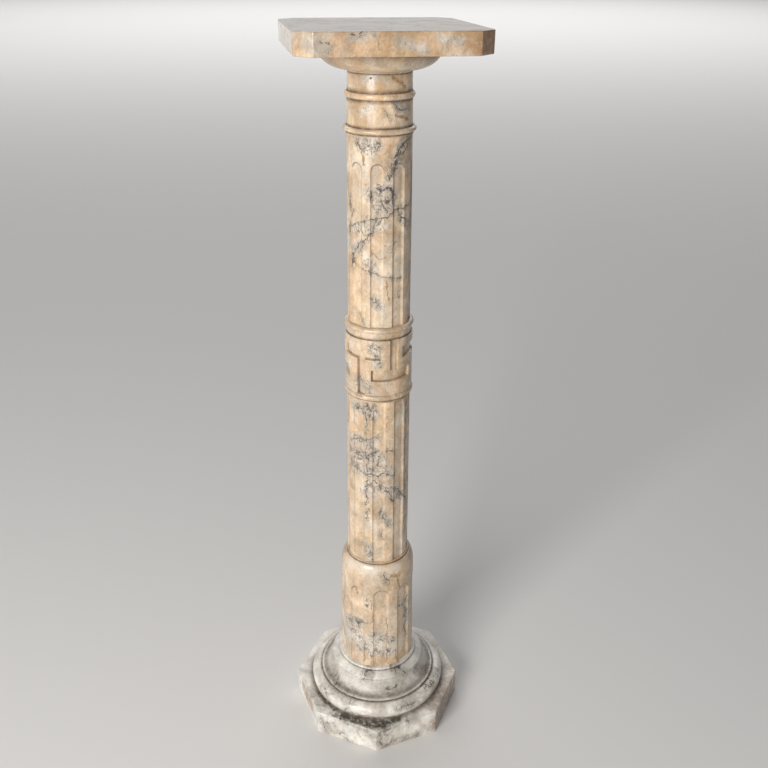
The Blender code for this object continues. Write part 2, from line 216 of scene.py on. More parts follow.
UPPER_PATHS = {
    "vein": (
        (1.8, (66, 957), (48, 953), (33, 942)), (1.6, (58, 950), (36, 934)),
        (2, (33, 942), (29, 930), (26, 922)), (1.3, (46, 954), (30, 926)), (1.2, (26, 922), (16, 908)),
        (1.2, (-43, 957), (-32, 944)), (1.3, (-3, 955), (2, 951), (-5, 946)),
        (1.6, (-18, 895), (-12, 892), (-16, 885)), (2, (-4, 896), (3, 891), (8, 894)),
        (2.2, (12, 896), (24, 893)), (2.2, (24, 892), (22, 876)), (1.6, (8, 886), (14, 881), (20, 883)),
        (1.5, (4, 879), (13, 866)), (1, (-16, 885), (-12, 876), (-8, 868)),
        (1.4, (26, 866), (44, 867), (60, 870)), (1.2, (-56, 844), (-30, 852), (-4, 856)),
        (1.3, (-4, 856), (14, 859), (26, 866)), (1.1, (-8, 843), (-22, 829), (-40, 819)),
        (1.3, (-40, 819), (-52, 808), (-58, 790)), (1.5, (41, 856), (67, 845)),
        (1.4, (67, 845), (66, 832)), (0.7, (-30, 787), (-12, 782), (9, 777), (43, 771)),
        (0.8, (-63, 884), (-58, 858), (-63, 832)), (0.9, (-32, 716), (-27, 709)),
    ),
    "smoke": (
        (11, (-38, 954), (-6, 953)), (9, (-28, 948), (-16, 941)), (9, (40, 950), (26, 924)),
        (17, (-12, 889), (20, 888)), (15, (-4, 872), (22, 872)), (14, (-46, 842), (6, 850)),
        (16, (-56, 812), (-34, 818)), (10, (44, 856), (62, 842)), (12, (-26, 806), (-14, 794)),
        (9, (-10, 746), (2, 734)),
    ),
    "rust_and_shade": (
        (2.2, (-32, 941), (-27, 926)), (1, (-16, 811), (2, 802), (14, 806)),
        (1.4, (14, 770), (18, 742)), (1.2, (30, 826), (22, 810)),
    ),
}
NECK_PATHS = {
    "vein": (
        (1.4, (-21, 1030), (-19, 1030)), (0.9, (25, 1001), (38, 993), (51, 992)),
        (0.7, (5, 996), (11, 988), (17, 983)),
    ),
    "smoke": (
        (8, (-26, 1028), (-14, 1032)), (9, (26, 1000), (52, 992)), (8, (-30, 990), (-12, 998)),
    ),
    "rust_and_shade": (
        (4, (24, 1033), (46, 1018)), (3, (28, 988), (54, 980)),
    ),
}


def length(name, text, default):
    """A length of the pedestal that a user may change."""
    return bpy.props.FloatProperty(
        name=name, description=text, default=default, min=0.0, unit="LENGTH", precision=4
    )


def turn(name, text, degrees):
    """An angle about the pedestal's axis."""
    return bpy.props.FloatProperty(
        name=name, description=text, default=math.radians(degrees), unit="ROTATION"
    )


def colour(name, text, default):
    """A colour of the stone, as linear RGB."""
    return bpy.props.FloatVectorProperty(
        name=name, description=text, default=default, size=3, min=0.0, max=1.0, subtype="COLOR"
    )


class PedestalSizes(bpy.types.PropertyGroup):
    """Sizes of the carving; heights of whole stones come from the frame."""

    flutes: bpy.props.IntProperty(name="Flutes", description="Flutes round a shaft", default=9)
    flute_width: turn("Flute width", "Width of a flute, as a turn", 24.5)
    flute_depth: length("Flute depth", "Depth of the shafts' flutes", 0.0022)
    drum_flute_depth: length("Drum flute depth", "Depth of the drum's flutes", 0.0024)
    drum_flute_width: turn("Drum flute width", "Width of a drum flute, as a turn", 25.5)
    drum_flute_turn: turn("Drum flutes", "Turn of the drum's flutes", 25.6)
    lower_flute_turn: turn("Lower flutes", "Turn of the lower shaft's flutes", 21.5)
    upper_flute_turn: turn("Upper flutes", "Turn of the upper shaft's flutes", 16.0)
    drum_foot: length("Drum foot", "Radius of the drum at its foot", 0.0598)
    drum_top: length("Drum top", "Radius of the drum below its shoulder", 0.0578)
    drum_arch: length("Drum arch", "Height of the arch heads above the drum's foot", 0.1545)
    shoulder_rise: length("Shoulder", "Height of the drum's rounded shoulder", 0.0225)
    shoulder_fillet: length("Shoulder fillet", "Height of the fillet on the shoulder", 0.0030)
    shoulder_radius: length("Fillet radius", "Radius of the fillet on the shoulder", 0.0492)
    lower_foot: length("Lower shaft foot", "Radius of the lower shaft at its foot", 0.0476)
    lower_top: length("Lower shaft top", "Radius of the lower shaft at its top", 0.0463)
    upper_foot: length("Upper shaft foot", "Radius of the upper shaft at its foot", 0.0441)
    upper_top: length("Upper shaft top", "Radius of the upper shaft at its top", 0.0431)
    upper_arch: length("Upper arch", "Height of the arch heads above the shaft's foot", 0.2237)
    torus_height: length("Torus height", "Height of the base's torus", 0.0216)
    torus_foot: length("Torus foot", "Radius of the torus where it stands", 0.1090)
    torus_neck: length("Torus neck", "Radius to which the torus draws in above", 0.0975)
    torus_fillet: length("Torus fillet", "Height of the fillet over the torus", 0.0032)
    torus_fillet_radius: length("Torus fillet radius", "Radius of that fillet", 0.0944)
    nose_drop: length("Nose drop", "Height of the round under the bead", 0.0087)
    nose_radius: length("Nose radius", "Radius where the round meets the cove", 0.0762)
    bead_height: length("Bead height", "Height of the bead at the drum's foot", 0.0045)
    bead_radius: length("Bead radius", "Outer radius of that bead", 0.0647)
    collar_fillet: length("Collar fillet", "Height of the fillet under the collar", 0.0028)
    collar_fillet_radius: length("Collar fillet radius", "Radius of that fillet", 0.0474)
    lower_ring: length("Lower ring", "Height of the collar's lower ring", 0.0088)
    lower_ring_radius: length("Lower ring radius", "Outer radius of that ring", 0.0501)
    band_height: length("Band height", "Height of the fret band", 0.0846)
    band_radius: length("Band radius", "Radius of the fret band", 0.0486)
    collar_cove: length("Collar cove", "Height of the cove over the band", 0.0102)
    collar_cove_radius: length("Collar cove radius", "Radius of that cove", 0.0466)
    upper_ring_radius: length("Upper ring radius", "Outer radius of the upper ring", 0.0496)
    fret_depth: length("Fret depth", "Depth of the fret's grooves", 0.0043)
    fret_bar: length("Fret bar", "Height of a groove's bar", 0.0175)
    fret_stem: turn("Fret stem", "Width of a groove's stem", 15.4)
    standing_low: length("Standing bar", "Height of the standing bars in the band", 0.0221)
    hanging_low: length("Hanging bar", "Height of the hanging bars in the band", 0.0551)
    neck_fillet: length("Neck fillet", "Height of the fillet under the neck", 0.0027)
    neck_fillet_radius: length("Neck fillet radius", "Radius of that fillet", 0.0442)
    neck_ring: length("Neck ring", "Height of the neck's lower ring", 0.0069)
    neck_ring_radius: length("Neck ring radius", "Outer radius of that ring", 0.0481)
    neck_foot: length("Neck foot", "Radius of the neck above that ring", 0.0432)
    neck_run: length("Neck run", "Plain height between the two rings", 0.0345)
    neck_upper_ring: length("Upper neck ring", "Height of the neck's upper ring", 0.0077)
    neck_upper_ring_radius: length("Upper neck ring radius", "Outer radius of it", 0.0457)
    neck_top: length("Neck top", "Radius of the neck under its top fillet", 0.0415)
    neck_top_fillet: length("Neck top fillet", "Height of the top fillet", 0.0020)
    neck_top_fillet_radius: length("Neck top fillet radius", "Radius of it", 0.0424)
    capital_foot: length("Capital foot", "Radius of the capital at its foot", 0.0428)
    slab_cut: length("Slab corner", "How far each corner of the slab is cut", 0.0211)
    plinth_turn: turn("Plinth turn", "Turn of the octagon against the slab", 11.8)
    arris: length("Arris", "Rounding of the worn edges", 0.0014)


class PedestalColours(bpy.types.PropertyGroup):
    """Colours of the stone and its veins, and the dark colours that paint grimy stains and shade."""

    cream: colour("Cream", "Light ground of the shafts", (0.80, 0.64, 0.47))
    peach: colour("Peach", "Warm ground of the shafts", (0.64, 0.45, 0.29))
    honey: colour("Honey", "Golden clouds in the shafts", (0.62, 0.43, 0.23))
    chalk: colour("Chalk", "Whitish patches", (0.74, 0.69, 0.61))
    umber: colour("Umber", "Tan flecks", (0.36, 0.24, 0.14))
    smoke: colour("Smoke", "Greyish stone round the dark veins", (0.43, 0.39, 0.34))
    stone_grey: colour("Grey", "Ground of the base moulding", (0.80, 0.76, 0.69))
    pearl: colour("Pearl", "Off-white ground of the plinth", (0.90, 0.87, 0.80))
    milk: colour("Milk", "White clouds in the plinth and the base", (0.94, 0.92, 0.88))
    tan: colour("Tan", "Ground of the slab", (0.53, 0.35, 0.20))
    vein: colour("Vein", "Dark veins", (0.050, 0.043, 0.040))
    # Brown for thin veins; it also paints shade lines down the drum's flute edges and shade on the
    # slab's right chamfer
    rust_and_shade: colour("Rust", "Thin brown veins", (0.28, 0.15, 0.07))
    # Near black for blackened stone; on the plinth it also paints the torus's shadow
    soot_and_shade: colour("Soot", "Blackened stone round the base", (0.040, 0.038, 0.028))
    # Dark brown for grimy hollows; it also paints the shade in creases, grooves, along flute edges,
    # under overhangs and the slab's shadow on the capital
    grime_and_shade: colour("Grime", "Dirt in the hollows", (0.10, 0.060, 0.035))


# Profiles and meshes


def half_round(low_edge, high_edge, reach, low, high, steps=14):
    """Profile of a ring that swells from its edges out to `reach`, as (radius, height)."""
    turns = math.pi * (np.arange(steps + 1) / steps - 0.5)
    edges = np.where(turns < 0.0, low_edge, high_edge)
    radii = edges + (reach - edges) * np.cos(turns)
    return list(zip(radii, low + (high - low) * (np.sin(turns) + 1.0) / 2.0))


def quarter(start, end, hollow, steps=16):
    """Quarter-ellipse profile between two points; it leaves the first one level if `hollow`."""
    turns = 0.5 * math.pi * np.arange(steps + 1) / steps
    across, along = np.sin(turns), 1.0 - np.cos(turns)
    if not hollow:
        across, along = along, across
    radii = start[0] + (end[0] - start[0]) * across
    return list(zip(radii, start[1] + (end[1] - start[1]) * along))


def bulge(start, end, rise, steps=10):
    """Profile from one point to another that swells outward by `rise` half way."""
    across, along = end[0] - start[0], end[1] - start[1]
    share = np.arange(1, steps + 1) / steps
    swell = rise * 4.0 * share * (1.0 - share) / math.hypot(across, along)
    radii = start[0] + across * share + along * swell
    return list(zip(radii, start[1] + along * share - across * swell))


def worn(profile, spacing=0.0006, rounding=0.0005):
    """Resample a profile evenly and round its arrises; returns radii, heights and hollows."""
    points = np.array(profile)
    steps = np.hypot(*np.diff(points, axis=0).T)
    along = np.concatenate([[0.0], np.cumsum(steps)])
    count = max(4, int(along[-1] / spacing) + 1)
    even = np.linspace(0.0, along[-1], count)
    sharp = np.array([np.interp(even, along, points[:, k]) for k in range(2)])
    soft = smooth(sharp, rounding / spacing)
    wide = smooth(sharp, 4.0 * rounding / spacing)
    tangent = np.gradient(soft, axis=1)
    tangent /= np.maximum(np.hypot(*tangent), 1e-12)
    hollow = (wide[0] - soft[0]) * tangent[1] - (wide[1] - soft[1]) * tangent[0]
    soft[:, 0] = sharp[:, 0]
    soft[:, -1] = sharp[:, -1]
    return soft[0], soft[1], hollow


def smooth(rows, reach):
    """Blur each row with a soft kernel, `reach` samples wide on each side."""
    span = max(1, int(math.ceil(2.0 * reach)))
    weights = np.exp(-0.5 * (np.arange(-span, span + 1) / max(reach, 0.3)) ** 2)
    weights /= weights.sum()
    padded = np.pad(rows, ((0, 0), (span, span)), mode="reflect", reflect_type="odd")
    return np.array([np.convolve(row, weights, "valid") for row in padded])


def drift(points, scale, seed):
    """Smooth random field from -1 to 1 at the given points, the same on every run."""
    lattice = np.random.default_rng(seed).uniform(-1.0, 1.0, (32, 32, 32))
    spots = np.moveaxis(points, -1, 0) * scale
    cell = np.floor(spots).astype(int)
    part = spots - cell
    part = part * part * (3.0 - 2.0 * part)
    total = np.zeros(points.shape[:-1])
    for corner in np.ndindex(2, 2, 2):
        step = np.reshape(corner, (3,) + (1,) * (points.ndim - 1))
        weight = np.prod(np.where(step == 1, part, 1.0 - part), axis=0)
        total += weight * lattice[tuple((cell + step) % 32)]
    return total


def on_grid(radius, height, angles):
    """Points of a grid of radii and heights over the angles."""
    level = np.broadcast_to(height, radius.shape)
    return np.stack([radius * np.cos(angles), radius * np.sin(angles), level], axis=-1)


def hollow_dirt_and_shade(hollow):
    """How hollow a place is, from 0 to 1: grimy staining together with painted shade that darkens
    creases and hollows.
    """
    return np.clip(hollow / DARKEST_HOLLOW, 0.0, 1.0)


def weathered(points, hollow, seed):
    """Let a carved surface waver a little, and chip it where it is sharply convex."""
    outward = points * np.array([1.0, 1.0, 0.0])
    outward /= np.maximum(np.linalg.norm(outward, axis=-1, keepdims=True), 1e-9)
    waver = WAVER * drift(points, 42.0, seed)
    sharp = np.clip(-hollow / SHARP_ARRIS, 0.0, 1.0)
    nicks = np.clip(drift(points, 260.0, seed + 1) + drift(points, 90.0, seed + 2) - 0.55, 0.0, 1.0)
    return points + outward * (waver - NICK_DEPTH * sharp * nicks)[..., None]


def grid_mesh(name, points, soil_and_shade):
    """Mesh of a closed stone whose side is a grid of points, capped flat at both ends."""
    levels, columns = points.shape[:2]
    points = points.reshape(-1, 3)
    row = np.arange(levels - 1)[:, None] * columns
    here = np.arange(columns)[None, :]
    after = (here + 1) % columns
    above = row + columns
    quads = np.stack([row + here, row + after, above + after, above + here], axis=-1)
    faces = quads.reshape(-1, 4).tolist()
    faces.append(list(range(columns))[::-1])
    faces.append(list(range((levels - 1) * columns, levels * columns)))
    mesh = bpy.data.meshes.new(name)
    mesh.from_pydata(points.tolist(), [], faces)
    layer = mesh.attributes.new("soil_and_shade", "FLOAT", "POINT")
    layer.data.foreach_set("value", np.ascontiguousarray(soil_and_shade, np.float32).reshape(-1))
    return mesh


def place(mesh, node, slot, material, sharp=40.0):
    """Shade the mesh, give it its marble and let it stand for its CAD node."""
    mesh.shade_smooth()
    mesh.set_sharp_from_angle(angle=math.radians(sharp))
    mesh.materials.append(material)
    obj = bpy.data.objects.new(mesh.name, mesh)
    bpy.context.scene.collection.objects.link(obj)
    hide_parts(node)
    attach(obj, BODY)
    return obj


def kept_levels(radius, height, close=(), stride=8):
    """Which samples of a profile the mesh keeps: all at bends and in close stretches."""
    slope = np.unwrap(np.arctan2(np.gradient(radius), np.gradient(height)))
    keep = np.abs(np.gradient(slope)) > 0.006
    for low, high in close:
        keep |= (height > low) & (height < high)
    keep[::stride] = True
    keep[-1] = True
    return keep


def turned_stone(title, node, slot, profile, material, seed, sides=224, dirt_and_shade=()):
    """A plain turned stone from its profile, with listed dark lines, each (height, width, strength),
    that paint shade with some grimy staining.
    """
    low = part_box(node)[0][2]
    radius, height, hollow = worn(profile)
    keep = kept_levels(radius, height)
    radius, height, hollow = radius[keep], height[keep], hollow[keep]
    angles = np.arange(sides) * FULL_TURN / sides
    full = np.repeat(radius[:, None], sides, axis=1)
    hollows = np.repeat(hollow[:, None], sides, axis=1)
    points = on_grid(full, (height + low)[:, None], angles)
    points[1:-1] = weathered(points, hollows, seed)[1:-1]
    soil_and_shade = hollow_dirt_and_shade(hollows)
    for line, width, strength in dirt_and_shade:
        soil_and_shade += strength * np.exp(-(((height - line) / width) ** 2))[:, None]
    mesh = grid_mesh(title, points, np.clip(soil_and_shade, 0.0, 1.0))
    return place(mesh, node, slot, material)


def flute_columns(sizes, first_turn, width):
    """Angles of a fluted stone's columns, close together at each flute's edges."""
    pitch = FULL_TURN / sizes.flutes
    angles = list(np.arange(216) * FULL_TURN / 216)
    for i in range(sizes.flutes):
        for side in (-0.5, 0.5):
            edge = first_turn + i * pitch + side * width
            for gap in (0.0, 0.35, 0.8, 1.5):
                angles += [edge - gap * MM / 0.05, edge + gap * MM / 0.05]
    angles = np.sort(np.array(angles) % FULL_TURN)
    keep = np.concatenate([[True], np.diff(angles) > 0.0012])
    return angles[keep]


def flute_carving(sizes, angles, z, first_turn, width, depth, arch_top, radius):
    """How deep the flutes are cut at each height and angle, and the dark lines along their edges,
    thicker under the arch heads: painted shade of the arrises with some grimy staining.
    """
    pitch = FULL_TURN / sizes.flutes
    half = 0.5 * width * radius
    offset = (angles - first_turn + 0.5 * pitch) % pitch - 0.5 * pitch
    across = np.abs(offset)[None, :] * radius
    above = np.zeros((len(z), 1))
    if arch_top is not None:
        above = np.maximum(z - (arch_top - half), 0.0)[:, None]
    inside = half - np.hypot(across, above)
    share = np.clip(inside / (0.46 * half), 0.0, 1.0)
    line = np.exp(-(((inside - 0.0006) / 0.0007) ** 2))
    head = np.clip(above / (0.5 * half), 0.0, 1.0)
    return depth * (1.0 - (1.0 - share) ** 2.4), (0.26 + 0.85 * head) * line


# Shader building


def fill(tree, node, inputs):
    """Link or set a node's inputs."""
    for key, value in inputs.items():
        if isinstance(value, bpy.types.NodeSocket):
            tree.links.new(value, node.inputs[key])
        else:
            node.inputs[key].default_value = value
    return node


def add(tree, kind, inputs=None, **settings):
    """Add a node, set its properties and fill its inputs; returns its outputs."""
    made = tree.nodes.new(kind)
    for key, value in settings.items():
        setattr(made, key, value)
    return fill(tree, made, inputs or {}).outputs


def new_group(name, inputs, outputs):
    """A shader group whose inputs are given by kind or default; returns its inner ends too."""
    tree = bpy.data.node_groups.new(name, "ShaderNodeTree")
    for socket, given in inputs.items():
        kind = given if isinstance(given, str) else "Float"
        item = tree.interface.new_socket(socket, in_out="INPUT", socket_type="NodeSocket" + kind)
        if given != kind:
            item.default_value = given
    for socket, kind in outputs.items():
        tree.interface.new_socket(socket, in_out="OUTPUT", socket_type="NodeSocket" + kind)
    return tree, tree.nodes.new("NodeGroupInput").outputs, tree.nodes.new("NodeGroupOutput")


def group(tree, name, inputs):
    """Place a shared group, building it the first time; returns its outputs."""
    made = tree.nodes.new("ShaderNodeGroup")
    made.node_tree = bpy.data.node_groups.get(name) or GROUP_BUILDERS[name]()
    return fill(tree, made, inputs).outputs


def maths(tree, operation, *values):
    """One maths node; returns its output."""
    return add(tree, "ShaderNodeMath", dict(enumerate(values)), operation=operation)[0]


def times(tree, first, second):
    """Product of two values."""
    return maths(tree, "MULTIPLY", first, second)


def larger(tree, first, second):
    """The larger of two values."""
    return maths(tree, "MAXIMUM", first, second)


def vector_maths(tree, operation, first, second):
    """One vector maths node; `second` is a vector, or the factor to scale by."""
    inputs = {0: first, "Scale" if operation == "SCALE" else 1: second}
    made = add(tree, "ShaderNodeVectorMath", inputs, operation=operation)
    return made["Value" if operation in ("DOT_PRODUCT", "DISTANCE") else "Vector"]


def shifted(tree, position, offset):
    """A position moved by an offset."""
    return vector_maths(tree, "ADD", position, offset)


def xyz(tree, x, y, z=0.0):
    """A vector from its parts."""
    return add(tree, "ShaderNodeCombineXYZ", {"X": x, "Y": y, "Z": z})[0]


def ramp_value(tree, value, low, high, to_low=0.0, to_high=1.0):
    """Smooth step of a value from one range to another."""
    inputs = {"Value": value, "From Min": low, "From Max": high, "To Min": to_low, "To Max": to_high}
    return add(tree, "ShaderNodeMapRange", inputs, interpolation_type="SMOOTHSTEP")[0]


def noise(tree, position, scale, detail=4.0, roughness=0.55, distortion=0.0, output="Fac"):
    """Noise on a position."""
    inputs = {"Vector": position, "Scale": scale, "Detail": detail}
    inputs |= {"Roughness": roughness, "Distortion": distortion}
    return add(tree, "ShaderNodeTexNoise", inputs)[output]


def swayed(tree, position, here, scale, detail, roughness, reach):
    """A position pushed about by the noise found `here`, by up to half of `reach`."""
    field = noise(tree, here, scale, detail, roughness, output="Color")
    centred = vector_maths(tree, "SUBTRACT", field, (0.5, 0.5, 0.5))
    return shifted(tree, position, vector_maths(tree, "SCALE", centred, reach))


def mix_colour(tree, share, first, second, blend="MIX"):
    """Mix two colours; returns the colour."""
    inputs = {0: share, 6: first, 7: second}
    return add(tree, "ShaderNodeMix", inputs, data_type="RGBA", blend_type=blend)[2]


def toned(tree, ground, tone):
    """A colour times a grey value."""
    shade = add(tree, "ShaderNodeCombineColor", {0: tone, 1: tone, 2: tone})[0]
    return mix_colour(tree, 1.0, ground, shade, "MULTIPLY")


def clouded(tree, ground, other, share, position, scale, texture, band):
    """Let another colour show in clouds, where the noise passes through a band of values."""
    cloud = ramp_value(tree, noise(tree, position, scale, *texture), *band)
    return mix_colour(tree, times(tree, cloud, share), ground, other)


def stone_position_group():
    """Position in the stone, shifted by a seed and bent a little, for every other pattern."""
    inputs = {"Seed": 0.0, "Grain Height": 1.0}
    tree, given, end = new_group("stone_position", inputs, {"Bent": "Vector"})
    offset = xyz(tree, given["Seed"], 0.37, given["Seed"])
    position = shifted(tree, add(tree, "ShaderNodeTexCoord")["Object"], offset)
    position = vector_maths(tree, "MULTIPLY", position, xyz(tree, 1.0, 1.0, given["Grain Height"]))
    fill(tree, end, {"Bent": swayed(tree, position, position, 38.0, 5.0, 0.6, 0.004)})
    return tree


def clouds_group():
    """Cloudy ground of the marble: two main colours, warm clouds and chalky patches."""
    inputs = {"Position": "Vector", "Light": "Color", "Deep": "Color", "Warm": "Color"}
    inputs |= {"Chalk": "Color", "Scale": 24.0, "Warm Share": 0.5, "Chalk Share": 0.4}
    tree, given, end = new_group("marble_clouds", inputs, {"Color": "Color"})
    position, scale = given["Position"], given["Scale"]
    base = noise(tree, position, scale, 7.0, 0.62, 0.4)
    ground = mix_colour(tree, ramp_value(tree, base, 0.36, 0.66), given["Light"], given["Deep"])
    for kind, offset, finer, texture, band in (
        ("Warm", (3.1, 1.7, 0.9), 0.62, (5.0, 0.6, 0.8), (0.48, 0.68)),
        ("Chalk", (5.3, 2.9, 4.1), 0.9, (6.0, 0.65, 1.0), (0.50, 0.64)),
    ):
        away = shifted(tree, position, offset)
        share = given[kind + " Share"]
        own = times(tree, scale, finer)
        ground = clouded(tree, ground, given[kind], share, away, own, texture, band)
    grain = ramp_value(tree, noise(tree, position, 420.0, 3.0, 0.7), 0.3, 0.7, 0.90, 1.07)
    fill(tree, end, {"Color": toned(tree, ground, grain)})
    return tree


def mottle_group():
    """Flecks over a ground colour: whitish grains, tan grains and a slow change of tone."""
    inputs = {"Position": "Vector", "Color": "Color", "Pale": "Color", "Tan": "Color"}
    inputs |= {"Scale": 150.0, "Pale Share": 0.5, "Tan Share": 0.4}
    tree, given, end = new_group("marble_mottle", inputs, {"Color": "Color"})
    ground, position, scale = given["Color"], given["Position"], given["Scale"]
    away = shifted(tree, position, (1.9, 4.7, 2.3))
    for kind, place, own, texture, band in (
        ("Pale", position, scale, (5.0, 0.68, 0.8), (0.50, 0.64)),
        ("Tan", away, times(tree, scale, 0.7), (6.0, 0.72, 1.2), (0.53, 0.68)),
    ):
        share = given[kind + " Share"]
        ground = clouded(tree, ground, given[kind], share, place, own, texture, band)
    slow = noise(tree, away, times(tree, scale, 0.24), 5.0, 0.6, 0.6)
    tone = ramp_value(tree, slow, 0.34, 0.66, 0.76, 1.12)
    fill(tree, end, {"Color": toned(tree, ground, tone)})
    return tree


def web_group():
    """Broken web of thin veins that wander through patches of the stone."""
    inputs = {"Position": "Vector", "Scale": 40.0, "Width": 0.02, "Spread": 0.5, "Patch Scale": 14.0}
    tree, given, end = new_group("vein_web", inputs, {"Mask": "Float"})
    position = given["Position"]
    field = noise(tree, position, given["Scale"], 4.0, 0.62, 0.9)
    ridge = maths(tree, "ABSOLUTE", maths(tree, "SUBTRACT", field, 0.5))
    swell = ramp_value(tree, noise(tree, position, 85.0, 3.0), 0.35, 0.7, 0.15, 1.7)
    width = times(tree, given["Width"], swell)
    line = maths(tree, "SUBTRACT", 1.0, ramp_value(tree, ridge, 0.0, width))
    away = shifted(tree, position, (7.7, 3.3, 1.1))
    patch = noise(tree, away, given["Patch Scale"], 4.0, 0.6, 0.6)
    edge = maths(tree, "SUBTRACT", 0.78, times(tree, given["Spread"], 0.4))
    low = maths(tree, "SUBTRACT", edge, 0.07)
    shown = ramp_value(tree, patch, low, maths(tree, "ADD", edge, 0.07))
    fill(tree, end, {"Mask": times(tree, line, shown)})
    return tree


def unrolled_group():
    """Place on a turned stone unrolled flat: way round from the front, then height."""
    inputs = {"Position": "Vector", "Radius": 0.045, "Front": 0.0}
    tree, given, end = new_group("unrolled_place", inputs, {"Place": "Vector"})
    inputs = {"Vector": given["Position"], "Angle": given["Front"]}
    turned = add(tree, "ShaderNodeVectorRotate", inputs, rotation_type="Z_AXIS")[0]
    parts = add(tree, "ShaderNodeSeparateXYZ", {0: turned})
    across = times(tree, maths(tree, "ARCTAN2", parts["Y"], parts["X"]), given["Radius"])
    fill(tree, end, {"Place": xyz(tree, across, parts["Z"])})
    return tree


def stroke_group():
    """How far a place lies from the stroke between two others, counted in its widths."""
    inputs = {"Place": "Vector", "Start": "Vector", "End": "Vector", "Width": 0.001}
    tree, given, end = new_group("vein_stroke", inputs, {"Distance": "Float"})
    spot, first = given["Place"], given["Start"]
    along = vector_maths(tree, "SUBTRACT", given["End"], first)
    square = vector_maths(tree, "DOT_PRODUCT", along, along)
    offset = vector_maths(tree, "DOT_PRODUCT", first, along)
    travel = maths(tree, "SUBTRACT", vector_maths(tree, "DOT_PRODUCT", spot, along), offset)
    share = add(tree, "ShaderNodeMath", {0: travel, 1: square}, operation="DIVIDE", use_clamp=True)
    near = shifted(tree, vector_maths(tree, "SCALE", along, share[0]), first)
    gap = vector_maths(tree, "DISTANCE", near, spot)
    fill(tree, end, {"Distance": maths(tree, "DIVIDE", gap, given["Width"])})
    return tree


def surface_group():
    """Polish of the stone: roughness, and the height of its fine pits and shallow waves."""
    inputs = {"Position": "Vector", "Veins": 0.0, "Soil And Shade": 0.0, "Polish": 0.22}
    outputs = {"Roughness": "Float", "Height": "Float"}
    tree, given, end = new_group("stone_surface", inputs, outputs)
    position = given["Position"]
    smear = ramp_value(tree, noise(tree, position, 30.0, 5.0, 0.6), 0.3, 0.75, -0.04, 0.12)
    rough = maths(tree, "ADD", given["Polish"], smear)
    for key, share in (("Veins", 0.22), ("Soil And Shade", 0.35)):
        rough = maths(tree, "ADD", rough, times(tree, given[key], share))
    pits = times(tree, noise(tree, position, 700.0, 2.0, 0.5), 0.10)
    waves = times(tree, noise(tree, position, 90.0, 3.0, 0.5), 0.5)
    fill(tree, end, {"Roughness": rough, "Height": maths(tree, "ADD", pits, waves)})
    return tree


GROUP_BUILDERS = {
    "stone_position": stone_position_group,
    "marble_clouds": clouds_group,
    "marble_mottle": mottle_group,
    "vein_web": web_group,
    "unrolled_place": unrolled_group,
    "vein_stroke": stroke_group,
    "stone_surface": surface_group,
}


def rgba(value):
    """A colour with full cover."""
    return (value[0], value[1], value[2], 1.0)


def on_stone(spot, radius):
    """Vein place from degrees and height round a turned stone, or degrees, reach and height."""
    if radius is not None:
        return Vector((math.radians(spot[0]) * radius, spot[1] * MM, 0.0))
    angle = FRONT + math.radians(spot[0])
    return Vector((spot[1] * math.cos(angle), spot[1] * math.sin(angle), spot[2])) * MM


def nearest_vein(tree, place, paths, radius):
    """Distance to the nearest drawn vein in its widths, and the mask of the vein itself."""
    nearest = None
    for width, *spots in paths:
        for first, second in zip(spots, spots[1:]):
            inputs = {"Place": place, "Width": width * MM}
            inputs |= {"Start": on_stone(first, radius), "End": on_stone(second, radius)}
            distance = group(tree, "vein_stroke", inputs)["Distance"]
            nearest = distance if nearest is None else maths(tree, "MINIMUM", nearest, distance)
    return nearest, ramp_value(tree, nearest, 0.25, 1.05, 1.0, 0.0)


def web(tree, position, scale, width, spread, patch_scale):
    """Mask of a web of veins."""
    inputs = {"Position": position, "Scale": scale, "Width": width}
    return group(tree, "vein_web", inputs | {"Spread": spread, "Patch Scale": patch_scale})["Mask"]


def lace(tree, bent):
    """Fine net of veins at two sizes that fills its surroundings, for smoke and vein edges."""
    fine = web(tree, shifted(tree, bent, (4.2, 1.1, 6.3)), 110.0, 0.050, 2.0, 14.0)
    wide = web(tree, shifted(tree, bent, (0.7, 5.2, 2.9)), 54.0, 0.032, 2.0, 14.0)
    return larger(tree, times(tree, fine, 0.75), wide)


